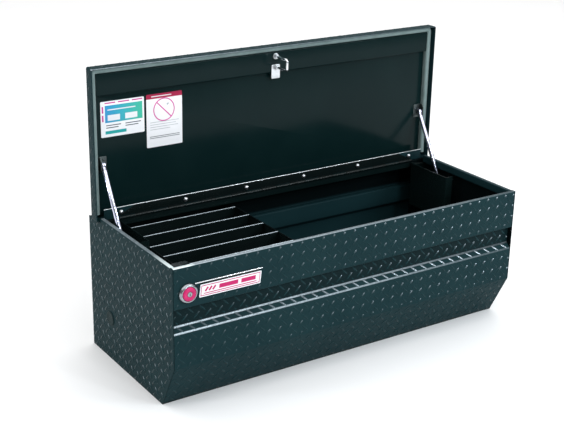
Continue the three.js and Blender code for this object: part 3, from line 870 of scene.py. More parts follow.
# LID_COAT paints a highlight along a fold of the lid, in front of y 0.186 m, brightest on the left.
LID_COAT = replace(END_COAT, name="tread_coat_lid", inside=None, bends=((0.8568, 0.0013),), highlight_strength=0.9,
                   fade=-1.0, lip=0.186)
# TREAD_COAT paints shade in the front groove under its overhang, highlights along the ledge's edges and the
# rim fold, brightest on the left, and a highlight on the rim's left front corner.
TREAD_COAT = replace(END_COAT, name="tread_coat_front", corner=True, fade=-1.0, inside=(1, 0.2395, 0.24),
                     highlight_strength=0.7, shade=(0.0045, 0.014, 0.016),
                     bends=((0.237, 0.0022), (0.252, 0.0022), (0.425, 0.0014)))
# REAR_COAT paints shade on the rear wall's inner face above 0.312 m.
REAR_COAT = replace(END_COAT, name="tread_coat_rear", inside=(1, 0.2512, 0.312))
# RIM_COAT paints a faint highlight along the rim fold, brightest on the left, and one on the rim's left front
# corner.
RIM_COAT = replace(END_COAT, name="tread_coat_rim", corner=True, bends=((0.425, 0.0010),), highlight_strength=0.3,
                   fade=-1.0, inside=None)
# Bar coats paint glints on the marked tips of the bars that rise to the right; FRONT_BAR's glints grow
# brighter to the right.
TREAD_BAR = Coat("tread_coat_bars", (0.0085, 0.028, 0.032), (0.012, 0.035, 0.039), 0.20, 0.06, 0.05,
                 0.0, 0.09, highlight_strength=0.6, tips=True)
PLAIN_BAR = replace(TREAD_BAR, name="tread_coat_plain_bars", tips=False, shine=0.05)
FRONT_BAR = replace(TREAD_BAR, name="tread_coat_front_bars", fade=1.0, shine=0.055)
# LEDGE_BAR paints a highlight on the bars across the whole ledge, brightest on the right.
LEDGE_BAR = replace(FRONT_BAR, name="tread_coat_ledge_bars", tips=False, bends=((0.245, 0.03),),
                    highlight_strength=0.62)
INNER_COAT = Coat("inner_coat", (0.003, 0.008, 0.008), (0.005, 0.011, 0.011), 0.26, 0.06, 0.05, 0.0, 0.2)
PANEL_COAT = Coat("panel_coat", (0.003, 0.012, 0.0125), (0.005, 0.016, 0.0165), 0.16, 0.05, 0.04, 0.0, 0.07)
# TRAY_COAT paints a highlight along the tray's rolled rim; LEAF_COAT has none.
TRAY_COAT = Coat("tray_coat", (0.003, 0.006, 0.006), (0.005, 0.009, 0.009), 0.26, 0.08, 0.08, 0.0, 0.2,
                 ((0.3842, 0.0012),), 0.8)
LEAF_COAT = replace(TRAY_COAT, name="leaf_coat", bends=())
ZINC = Plated("zinc_plate", (0.66, 0.68, 0.70), (0.42, 0.44, 0.46), 0.28)
CHROME = Plated("bright_chrome", (0.80, 0.82, 0.85), (0.60, 0.63, 0.66), 0.12, (40.0, 40.0, 40.0), 0.15)
DARK_ZINC = Plated("zinc_plate_dark", (0.10, 0.12, 0.12), (0.06, 0.07, 0.07), 0.38)
CHROME_RING = Plated("bright_chrome_ring", (0.42, 0.45, 0.48), (0.12, 0.14, 0.15), 0.22, (1.0, 1.0, 1.0), 0.8)
STRUT_ENAMEL = Plated("strut_enamel", (0.74, 0.76, 0.92), (0.60, 0.62, 0.80), 0.16, (1.0, 1.0, 1.0), 0.1)
RED_ENAMEL = Moulded("red_enamel", (0.56, 0.004, 0.12), (0.42, 0.003, 0.09), 0.42, 700.0, 0.06)
SEAL_FOAM = Moulded("seal_foam", (0.20, 0.27, 0.265), (0.145, 0.205, 0.20), 0.78, 900.0, 0.35)
PLUG_RUBBER = Moulded("plug_rubber", (0.008, 0.02, 0.021), (0.013, 0.03, 0.031), 0.6, 900.0, 0.25, 0.12)


# ---- pieces ----------------------------------------------------------------------------------
SHARP_ANGLE = math.radians(38)


def add_piece(name: str, shell: Shell, body: str, finish: Finish,
              replaced: Sequence[str] = ()) -> bpy.types.Object:
    """Makes a shell an object that rides on a body.

    Args:
        name: the piece's name.
        shell: its surface, in row-frame metres.
        body: the body that it rides on.
        finish: its finish.
        replaced: the part's nodes that it stands for.

    Returns:
        The object.
    """
    mesh = bpy.data.meshes.new(name)
    mesh.from_pydata(shell.verts.tolist(), [], shell.faces)
    mesh.validate()
    mesh.polygons.foreach_set("use_smooth", np.ones(len(mesh.polygons), bool))
    mesh.set_sharp_from_angle(angle=SHARP_ANGLE)
    piece = bpy.data.objects.new(name, mesh)
    bpy.context.scene.collection.objects.link(piece)
    mesh.materials.append(finish.material())
    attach(piece, body)
    if replaced:
        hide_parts(*replaced)
    log.info("%s: %d faces on %s", name, len(mesh.polygons), body)
    return piece


def add_tread(name: str, shells: Sequence[Shell], body: str, finish: Finish) -> None:
    """Makes tread bars a piece and marks the upper tips of the bars that rise to the right for a painted
    glint.

    Args:
        name: the piece's name.
        shells: the bars, 35 vertices each in seven rings from one tip to the other.
        body: the body that they ride on.
        finish: their finish.
    """
    shell = joined(shells)
    piece = add_piece(name, shell, body, finish)
    rings = shell.verts.reshape(-1, 7, 5, 3)
    climb = rings[:, 6].mean(1)[:, 2] - rings[:, 0].mean(1)[:, 2]
    # Marks where the painted glint goes: the upper tip rings of the rising bars.
    rub = np.zeros(rings.shape[:3])
    rub[climb > 0.003, 5, 1:4] = 1.0
    rub[climb > 0.003, 4, 1:4] = 0.25
    piece.data.attributes.new("rub", "FLOAT", "POINT").data.foreach_set("value", rub.ravel())


def cut(piece: bpy.types.Object, shell: Shell) -> None:
    """Takes a closed shell away from a piece.

    Args:
        piece: the piece to cut.
        shell: the cutter, in row-frame metres.
    """
    mesh = bpy.data.meshes.new("cutter")
    mesh.from_pydata(shell.verts.tolist(), [], shell.faces)
    cutter = bpy.data.objects.new("cutter", mesh)
    bpy.context.scene.collection.objects.link(cutter)
    step = piece.modifiers.new("cut", "BOOLEAN")
    step.operation = "DIFFERENCE"
    step.solver = "EXACT"
    step.object = cutter
    graph = bpy.context.evaluated_depsgraph_get()
    result = bpy.data.meshes.new_from_object(piece.evaluated_get(graph))
    result.set_sharp_from_angle(angle=SHARP_ANGLE)
    piece.modifiers.clear()
    piece.data = result
    bpy.data.objects.remove(cutter)


def dress(node: str, finish: Finish) -> None:
    """Gives a node that keeps its own mesh its finish."""
    materials = frame["nodes"][node].data.materials
    materials.clear()
    materials.append(finish.material())
    log.info("%s: dressed with %s", node, finish.material().name)


# ---- tread plate -----------------------------------------------------------------------------
@dataclass(frozen=True)
class TreadBars:
    """The raised bars of four-way tread plate.

    Bars lie at 45 degrees in two sets: one on a square net, the other, turned the other way, at the
    middles of the net's cells.  A bar is a lens in plan with a rounded back.
    """

    pitch_u: float = 36.0
    pitch_v: float = 34.8
    length: float = 27.0
    width: float = 6.6
    height: float = 1.4
    sunk: float = 0.3
    margin: float = 2.2
    shortest: float = 7.0

    def shell(self, axes: Axes, outline: Sequence[tuple[float, float]], first: tuple[float, float],
              bare: Sequence[tuple[float, float, float, float]] = ()) -> Shell:
        """Bars over a convex outline, cut short where they meet its edges.

        Args:
            axes: frame with u and v in the face and w out of it.
            outline: the face's corners, anticlockwise, in millimetres.
            first: centre of one bar of the first set.
            bare: rectangles (u0, u1, v0, v1) that hold no bar's centre.

        Returns:
            One closed shell for each bar, joined.
        """
        centre, sign = self.centres(np.array(outline, float), first)
        for u0, u1, v0, v1 in bare:
            inside = ((centre[:, 0] > u0) & (centre[:, 0] < u1)
                      & (centre[:, 1] > v0) & (centre[:, 1] < v1))
            centre, sign = centre[~inside], sign[~inside]
        along_bar = np.stack([np.full(len(sign), math.sqrt(0.5)), sign * math.sqrt(0.5)], axis=1)
        start, end = self.clipped(centre, along_bar, np.array(outline, float))
        kept = end - start > self.shortest
        return self.bars(axes, centre[kept], along_bar[kept], start[kept], end[kept])

    def centres(self, outline: Array, first: tuple[float, float]) -> tuple[Array, Array]:
        """Centres and slopes of both sets over the outline's box."""
        low, high = outline.min(0) - self.length, outline.max(0) + self.length
        found, slopes = [], []
        for shift, slope in ((0.0, 1.0), (0.5, -1.0)):
            pitches = (self.pitch_u, self.pitch_v)
            lines = []
            for k in (0, 1):
                origin = first[k] + shift * pitches[k]
                count_low = math.ceil((low[k] - origin) / pitches[k])
                count_high = math.floor((high[k] - origin) / pitches[k])
                lines.append(origin + pitches[k] * np.arange(count_low, count_high + 1))
            net = np.stack(np.meshgrid(*lines), axis=-1).reshape(-1, 2)
            found.append(net)
            slopes.append(np.full(len(net), slope))
        return np.vstack(found), np.concatenate(slopes)

    def clipped(self, centre: Array, direction: Array, outline: Array) -> tuple[Array, Array]:
        """Each bar's first and last distance from its centre, inside every edge by the margin.

        For an edge with inward normal n, a point at distance s is inside where
        (centre - edge) . n + s (direction . n) is at least the margin.
        """
        start = np.full(len(centre), -self.length / 2)
        end = np.full(len(centre), self.length / 2)
        for corner, after in zip(outline, np.roll(outline, -1, axis=0)):
            edge = (after - corner) / np.linalg.norm(after - corner)
            inward = np.array([-edge[1], edge[0]])
            room = (centre - corner) @ inward - self.margin
            rate = direction @ inward
            safe = np.where(np.abs(rate) < 1e-6, 1e-6, rate)
            limit = -room / safe
            start = np.where(rate > 1e-6, np.maximum(start, limit), start)
            end = np.where(rate < -1e-6, np.minimum(end, limit), end)
            outside = (np.abs(rate) <= 1e-6) & (room < 0)
            end = np.where(outside, start, end)
        return start, end

    def bars(self, axes: Axes, centre: Array, direction: Array, start: Array, end: Array) -> Shell:
        """Seven sections of five points for each bar.

        With q the place along the whole bar from -1 to 1, the half width is width / 2 times
        sqrt(1 - q^2) and the back is height times (1 - q^4); the side points stand at 0.72 of it.
        """
        count = len(centre)
        step = np.array([0.0, 0.06, 0.27, 0.5, 0.73, 0.94, 1.0])
        place = start[:, None] + (end - start)[:, None] * step
        q = np.clip(place / (self.length / 2), -0.985, 0.985)
        half = self.width / 2 * np.sqrt(1 - q * q)
        back = self.height * (1 - q ** 4) * np.array([0, 1, 1, 1, 1, 1, 0.0])
        share = np.array([-1.0, -0.62, 0.0, 0.62, 1.0])
        lift = np.array([0.0, 0.72, 1.0, 0.72, 0.0])
        over = np.array([0.0, 1.0, 1.0, 1.0, 0.0])
        across = np.stack([-direction[:, 1], direction[:, 0]], axis=1)
        plan = (centre[:, None, None] + place[:, :, None, None] * direction[:, None, None]
                + (half[:, :, None] * share)[..., None] * across[:, None, None])
        rise = back[:, :, None] * lift + self.sunk * (0.8 * over - 1)
        points = np.concatenate([plan, rise[..., None]], axis=-1).reshape(-1, 3)
        one = np.array(grid_faces(7, 5, True))
        offset = np.arange(count)[:, None, None] * 35
        sides = (one[None] + offset).reshape(-1, 4).tolist()
        caps = np.array([[4, 3, 2, 1, 0], [30, 31, 32, 33, 34]])
        ends = (caps[None] + offset).reshape(-1, 5).tolist()
        return Shell(axes.place(points), [tuple(f) for f in sides + ends]).outward()


# ---- sub-assemblies --------------------------------------------------------------------------
SECTION = PLAN.chest.facing(Facing.RIGHT, 0, 0, 0)
LID_SECTION = PLAN.lid.facing(Facing.RIGHT, 0, 0, 0)
FRONT_FACE = PLAN.chest.facing(Facing.FRONT, 0, 0, 0)
SIDES = (("left", -1), ("right", 1))


def mirrored_if(side: int, shell: Shell) -> Shell:
    """The shell itself on the left (side -1), its mirror image on the right."""
    return shell if side < 0 else shell.mirrored()


@dataclass(frozen=True)
class Body:
    """The chest's folded front and rear sheets, end panels, tread bars and hole plugs."""

    sheet_half: float = 597.3
    rim: float = 14.0
    rim_return: float = 22.0
    groove_high: float = 306.0
    groove_low: float = 252.0
    ledge_low: float = 237.0
    groove_depth: float = 16.0
    chamfer_high: float = 134.0
    chamfer_deep: float = 66.6
    bevel: float = 68.0
    floor_lip: float = 18.0
    wall_step: float = 8.0
    rim_end: float = 6.0
    deck_gap: float = 5.2
    deck_return: float = 23.0
    plug_y: float = 381.0
    plug_z: float = 132.0
    plug_hole: float = 19.4
    rows: float = 34.6
    upper_row: float = 347.6
    lower_row: float = 171.3
    groove_row: float = 272.0
    tread_edge: float = 3.0

    def build(self) -> None:
        """Builds every piece of the body."""
        self.front_sheet()
        self.rear_sheet()
        for word, side in SIDES:
            self.end_sheet(word, side)
            self.plug(word, side)
        self.front_tread()
        self.end_tread()
        self.rear_tread()
        dress("floor_panel", INNER_COAT)

    def front_sheet(self) -> None:
        """Front wall folded in at the groove and the rim, with the lock's hole."""
        low = SHEET + SEAM
        path = rounded([
            (self.rim, PLAN.height - self.rim_return), (self.rim, PLAN.height), (0, PLAN.height),
            (0, self.groove_high), (self.groove_depth, self.groove_high),
            (self.groove_depth, self.groove_low), (0, self.ledge_low), (0, self.chamfer_high),
            (self.chamfer_deep, low), (self.chamfer_deep + self.floor_lip, low)], BEND)
        shell = extruded(thick(path, SHEET), -self.sheet_half, self.sheet_half, SECTION)
        piece = add_piece("front_sheet", shell, "chest", TREAD_COAT, ["front_panel"])
        hole = along(PLAN.chest, (LOCK.x, 0, LOCK.z), (0, -1, 0))
        cut(piece, turned([(LOCK.hole, -12), (LOCK.hole, 12)], hole))

    def rear_sheet(self) -> None:
        """Rear wall with the same groove, its deck and the deck's return."""
        depth, inner = PLAN.depth, PLAN.depth - self.groove_depth
        edge = PLAN.hinge_y + self.deck_gap
        low = SHEET + SEAM
        path = rounded([
            (depth - self.floor_lip, low), (depth, low), (depth, self.ledge_low), (inner, self.groove_low),
            (inner, self.groove_high), (depth, self.groove_high), (depth, PLAN.deck),
            (edge, PLAN.deck), (edge, PLAN.deck - self.deck_return)], BEND)
        shell = extruded(thick(path, SHEET), -self.sheet_half, self.sheet_half, SECTION)
        add_piece("rear_sheet", shell, "chest", REAR_COAT, ["rear_panel"])

    def end_sheet(self, word: str, side: int) -> None:
        """End plate with its folded rim along the top.

        Args:
            word: which end.
            side: -1 for the left end.
        """
        step = PLAN.height - self.rim_return - self.wall_step
        edge = PLAN.hinge_y - self.rim_end
        front = self.rim + SEAM
        flat = [(self.bevel, 0), (PLAN.depth, 0), (PLAN.depth, PLAN.deck), (edge, PLAN.deck), (edge, step),
                (front, step), (front, PLAN.height), (0, PLAN.height), (0, self.chamfer_high)]
        wall = extruded(np.array(flat, float), -PLAN.half, SHEET - PLAN.half, SECTION)
        piece = add_piece(f"{word}_end_sheet", mirrored_if(side, wall), "chest",
                          END_COAT, [f"{word}_end_panel"])
        hole = along(PLAN.chest, (side * PLAN.half, self.plug_y, self.plug_z), (side, 0, 0))
        cut(piece, turned([(self.plug_hole, -9), (self.plug_hole, 9)], hole))
        ends = PLAN.chest.within((0, 0, 0), (-1, 0, 0), (0, 0, 1), (0, 1, 0))
        inner = PLAN.half - self.rim
        path = rounded([
            (PLAN.half, step), (PLAN.half, PLAN.height), (inner, PLAN.height),
            (inner, PLAN.height - self.rim_return)], BEND)
        strip = extruded(thick(path, SHEET), front, edge, ends)
        add_piece(f"{word}_end_rim", mirrored_if(side, strip), "chest", RIM_COAT)

    def plug(self, word: str, side: int) -> None:
        """Domed rubber plug with a neck through the end panel."""
        axis = along(PLAN.chest, (side * PLAN.half, self.plug_y, self.plug_z), (side, 0, 0))
        profile = [(0.05, 2.2), (10, 2.35), (14.5, 2.5), (16.2, 3.0), (19.6, 2.9), (21.3, 2.2),
                   (22, 0.9), (21.8, 0.2), (19, 0.2), (19, -2.7), (19.4, -3.4), (18.6, -4.4),
                   (15.5, -4.4), (15.5, -1.5), (0.05, -1.2)]
        add_piece(f"{word}_plug", turned(profile, axis), "chest", PLUG_RUBBER,
                  [f"{word}_hole_plug"])

    def front_tread(self) -> None:
        """Bars on the front walls, the groove, the ledge, the lower slope and the front rim."""
        bars = TreadBars(pitch_v=self.rows)
        half, first = self.sheet_half, 7 - PLAN.half
        edge = self.tread_edge
        lock = (LOCK.x - 38, LOCK.x + 38, LOCK.z - 38, LOCK.z + 38)
        plate_area = (PLATE.left - 22, PLATE.right + 10, PLATE.low - 10, PLATE.trim_high + 8)
        ledge = Vector((0, self.groove_depth, self.groove_low - self.ledge_low))
        foot = SHEET + SEAM
        slope = Vector((0, -self.chamfer_deep, self.chamfer_high - foot))
        u = Vector((1, 0, 0))
        on_ledge = PLAN.chest.within((0, 0, self.ledge_low), (1, 0, 0), tuple(ledge.normalized()),
                                     tuple(u.cross(ledge.normalized())))
        on_slope = PLAN.chest.within((0, self.chamfer_deep, foot), (1, 0, 0),
                                     tuple(slope.normalized()), tuple(u.cross(slope.normalized())))
        in_groove = PLAN.chest.facing(Facing.FRONT, 0, self.groove_depth, 0)
        on_rim = PLAN.chest.facing(Facing.TOP, 0, 0, PLAN.height)
        shells = [
            bars.shell(FRONT_FACE, corners(-half, half, self.groove_high + edge, PLAN.height - edge),
                       (first, self.upper_row), (lock, plate_area)),
            bars.shell(FRONT_FACE, corners(-half, half, self.chamfer_high + 1, self.ledge_low - 2),
                       (first, self.lower_row)),
            bars.shell(in_groove, self.groove_area(), (first, self.groove_row)),
            bars.shell(on_rim, corners(-half, half, edge, self.rim - 2), (first, 6)),
        ]
        add_tread("front_tread_bars", shells, "chest", FRONT_BAR)
        ledge_bars = bars.shell(on_ledge, corners(-half, half, 0, ledge.length),
                                (first, ledge.length / 2 - self.rows / 2))
        add_tread("ledge_tread_bars", [ledge_bars], "chest", LEDGE_BAR)
        slope_bars = bars.shell(on_slope, corners(-half, half, 2, slope.length - 2), (first, 30))
        add_tread("slope_tread_bars", [slope_bars], "chest", PLAIN_BAR)

    def groove_area(self) -> list[tuple[float, float]]:
        """The part of the groove's floor that carries bars."""
        return corners(-self.sheet_half, self.sheet_half, self.groove_low + 3, self.groove_high - 5)

    def end_tread(self) -> None:
        """Bars on both ends and on their rims."""
        bars = TreadBars(36.6, 36.2)
        top = PLAN.height - 3
        outline = [(0, self.chamfer_high), (self.bevel, 0), (PLAN.depth, 0), (PLAN.depth, PLAN.deck - 2),
                   (400, top), (0, top)]
        plug = (self.plug_y - 28, self.plug_y + 28, self.plug_z - 28, self.plug_z + 28)
        wall = PLAN.chest.facing(Facing.RIGHT, PLAN.half, 0, 0)
        rim = PLAN.chest.within((PLAN.half, 0, PLAN.height), (0, 1, 0), (-1, 0, 0), (0, 0, 1))
        edge = PLAN.hinge_y - self.rim_end
        on_rim = corners(self.rim, edge, 3, self.rim - 2)
        right = joined([bars.shell(wall, outline, (26.5, 387.5), [plug]),
                        bars.shell(rim, on_rim, (26.5, 7))])
        add_tread("right_tread_bars", [right], "chest", TREAD_BAR)
        add_tread("left_tread_bars", [right.mirrored()], "chest", TREAD_BAR)

    def rear_tread(self) -> None:
        """Bars on the rear walls and the deck."""
        bars = TreadBars(pitch_v=self.rows)
        back = PLAN.chest.facing(Facing.REAR, 0, PLAN.depth, 0)
        groove = PLAN.chest.facing(Facing.REAR, 0, PLAN.depth - self.groove_depth, 0)
        deck = PLAN.chest.facing(Facing.TOP, 0, 0, PLAN.deck)
        half = self.sheet_half
        edge = PLAN.hinge_y + 8
        shells = [
            bars.shell(back, corners(-half, half, self.groove_high + 3, PLAN.deck - 3),
                       (7, self.upper_row)),
            bars.shell(back, corners(-half, half, 5, self.ledge_low - 2), (7, self.lower_row)),
            bars.shell(groove, self.groove_area(), (7, self.groove_row)),
            bars.shell(deck, corners(-half, half, edge, PLAN.depth - 3), (7, 470)),
        ]
        add_tread("rear_tread_bars", shells, "chest", TREAD_BAR)


@dataclass(frozen=True)
class PushLock:
    """Round chrome bezel, red push button and its key cylinder."""

    x: float = -555.0
    z: float = 349.0
    hole: float = 14.4
    bezel: float = 28.0
    bore: float = 20.3
    cap: float = 19.5
    pocket: float = 7.4
    keyway: tuple[float, float] = (1.8, 8.4)

    def build(self) -> None:
        """Builds the lock; its inner works keep their own shapes."""
        axis = along(PLAN.chest, (self.x, 0, self.z), (0, -1, 0))
        r = self.bezel
        ring = [(self.bore, 0.2), (r - 0.6, 0.2), (r, 0.9), (r, 2.4), (r - 0.5, 4.0), (r - 1.8, 6.0),
                (r - 3.4, 7.8), (r - 4.8, 8.8), (r - 6.0, 9.2), (self.bore + 0.6, 9.0),
                (self.bore, 8.2), (self.bore, 5.0)]
        add_piece("lock_bezel_ring", turned(ring, axis, 72, True), "chest",
                  CHROME_RING, ["lock_bezel"])
        c = self.cap
        button = [(0.05, -11), (self.pocket, -11), (self.pocket, 10.8), (8.0, 11.4), (9.4, 11.5),
                  (10.2, 12.0), (15.0, 12.0), (17.6, 11.6), (c - 0.6, 10.4), (c, 9.0), (c, 6.7),
                  (11, 6.7), (11, -12.5), (4, -12.5), (4, -14), (0.05, -14)]
        add_piece("lock_button", turned(button, axis, 56), "push_button", RED_ENAMEL,
                  ["push_button"])
        core = [(0.05, -10.6), (6.6, -10.6), (7, -10.2), (7, 11.6), (6.4, 12.3), (0.05, 12.3)]
        plug = add_piece("lock_core", turned(core, axis, 40), "lock_cylinder",
                         CHROME_RING, ["lock_cylinder"])
        slot = PLAN.chest.facing(Facing.FRONT, self.x, 0, self.z)
        u, v = self.keyway[0] / 2, self.keyway[1] / 2
        cut(plug, extruded(rectangle(-u, u, -v, v, 0.4), 5.3, 14, slot))
        for node in ("lock_nut", "release_rod", "rod_clip_outer", "rod_clip_inner", "latch_housing",
                     "latch_rotor", "rotor_pin"):
            dress(node, ZINC)
        dress("lock_cover", INNER_COAT)


@dataclass(frozen=True)
class Nameplate:
    """Slanted printed plate with a chrome frame and a chrome strip above."""

    left: float = -523.0
    right: float = -329.0
    low: float = 329.0
    high: float = 365.0
    slant: float = 4.0
    trim_low: float = 371.5
    trim_high: float = 374.5

    def build(self) -> None:
        """Builds the face and the metalwork."""
        s = self.slant
        outline = rounded([(self.left, self.low), (self.right - s, self.low),
                           (self.right, self.high), (self.left + s, self.high)], 2.5, True)
        inner = outline + left_normals(outline, True) * 1.6
        face = plate(inner, 1.0, 2.7, FRONT_FACE, 0.4)
        low = PLAN.chest.place(np.array([self.left, 0, self.low]))
        size = ((self.right - s - self.left) * MM, (self.high - self.low) * MM)
        film = PrintedFilm(
            "plate_print", (0.66, 0.66, 0.69), NAME_PRINTS, 0, 2, (float(low[0]), float(low[2])),
            size, 0.3, s / (self.high - self.low))
        add_piece("nameplate_face", face, "chest", film, ["nameplate"])
        frame_rings = stacked(outline, [(0, 0.2), (0, 2.6), (0.4, 3.1), (1.4, 3.1), (1.8, 2.6),
                                        (1.8, 0.2)], FRONT_FACE)
        strip = block((self.left - 12, self.trim_low, 0.2), (self.right + 2, self.trim_high, 4.0),
                      FRONT_FACE, 0.8)
        back = block((self.left + 8, self.high - 4, 0.2), (self.right - 8, self.trim_low + 1, 1.6),
                     FRONT_FACE, 0.3)
        add_piece("nameplate_trim", joined([frame_rings, strip]), "chest", CHROME)
        add_piece("nameplate_back", back, "chest", INNER_COAT)


@dataclass(frozen=True)
class Hinge:
    """Full-length piano hinge with a tapered lid leaf and six domed bolts."""

    half: float = 540.0
    knuckle: float = 4.4
    bore: float = 2.9
    count: int = 20
    gap: float = 0.5
    taper: float = 56.0
    leaf_high: float = 26.0
    bolt_pitch: float = 212.0
    dome: float = 5.2

    def build(self) -> None:
        """Builds both leaves with their knuckles, and the bolts."""
        y, z, r = PLAN.hinge_y, PLAN.hinge_z, self.knuckle
        under = block((-self.half, y + 3.0, PLAN.deck - 22.5),
                      (self.half, y + 5.0, z - r - 0.6), PLAN.chest, 0.4)
        tabs = [block((x0, y + 2.6, z - r - 3), (x1, y + 4.9, z - 1.4), PLAN.chest, 0.4)
                for x0, x1 in self.spans(0)]
        add_piece("hinge_low_leaf", joined([under, *tabs, *self.knuckles(0, PLAN.chest)]), "chest",
                  INNER_COAT, ["hinge_body_leaf"])
        top = z + r + 0.2
        near = y - r - 0.6
        trapezoid = rounded([(-self.half, near), (self.taper - self.half, near - self.leaf_high),
                             (self.half - self.taper, near - self.leaf_high), (self.half, near)],
                            2.0, True)
        leaf = plate(trapezoid, top - 2, top, PLAN.lid, 0.5)
        arms = [block((x0, near - 2, top - 1.9), (x1, y - 1.2, top - 0.1), PLAN.lid, 0.4)
                for x0, x1 in self.spans(1)]
        add_piece("hinge_high_leaf", joined([leaf, *arms, *self.knuckles(1, PLAN.lid)]), "lid",
                  LEAF_COAT, ["hinge_lid_leaf"])
        for i in range(6):
            self.bolt(i, near - 0.45 * self.leaf_high, top - 2.2)
        dress("hinge_pin", ZINC)

    def spans(self, parity: int) -> list[tuple[float, float]]:
        """First and last x of every second knuckle."""
        pitch = 2 * self.half / self.count
        return [(-self.half + i * pitch + self.gap, -self.half + (i + 1) * pitch - self.gap)
                for i in range(parity, self.count, 2)]

    def knuckles(self, parity: int, axes: Axes) -> list[Shell]:
        """Rolled knuckles with a bore and softened ends."""
        base = axes.facing(Facing.RIGHT, 0, PLAN.hinge_y, PLAN.hinge_z)
        r, b = self.knuckle, self.bore
        return [turned([(b, x0), (r - 0.4, x0), (r, x0 + 0.4), (r, x1 - 0.4), (r - 0.4, x1), (b, x1)],
                       base, 24, True) for x0, x1 in self.spans(parity)]

    def bolt(self, index: int, y: float, face: float) -> None:
        """Domed head: height dome * sqrt(1 - (r / 6.9)^2) over a thin flange, with its shank."""
        x = (index - 2.5) * self.bolt_pitch
        angle = np.linspace(0.01, math.pi / 2, 9)
        dome = [(6.5 * math.sin(a), -0.8 - (self.dome - 0.8) * math.cos(a)) for a in angle]
        profile = [*dome, (7.0, -0.8), (7.2, -0.5), (7.2, 0), (2.1, 0), (2.1, 2.2), (0.05, 2.2)]
        axis = PLAN.lid.facing(Facing.TOP, x, y, face)
        add_piece(f"hinge_dome_{index + 1}", turned(profile, axis, 36), "lid", ZINC,
                  [f"hinge_bolt_{index + 1}"])


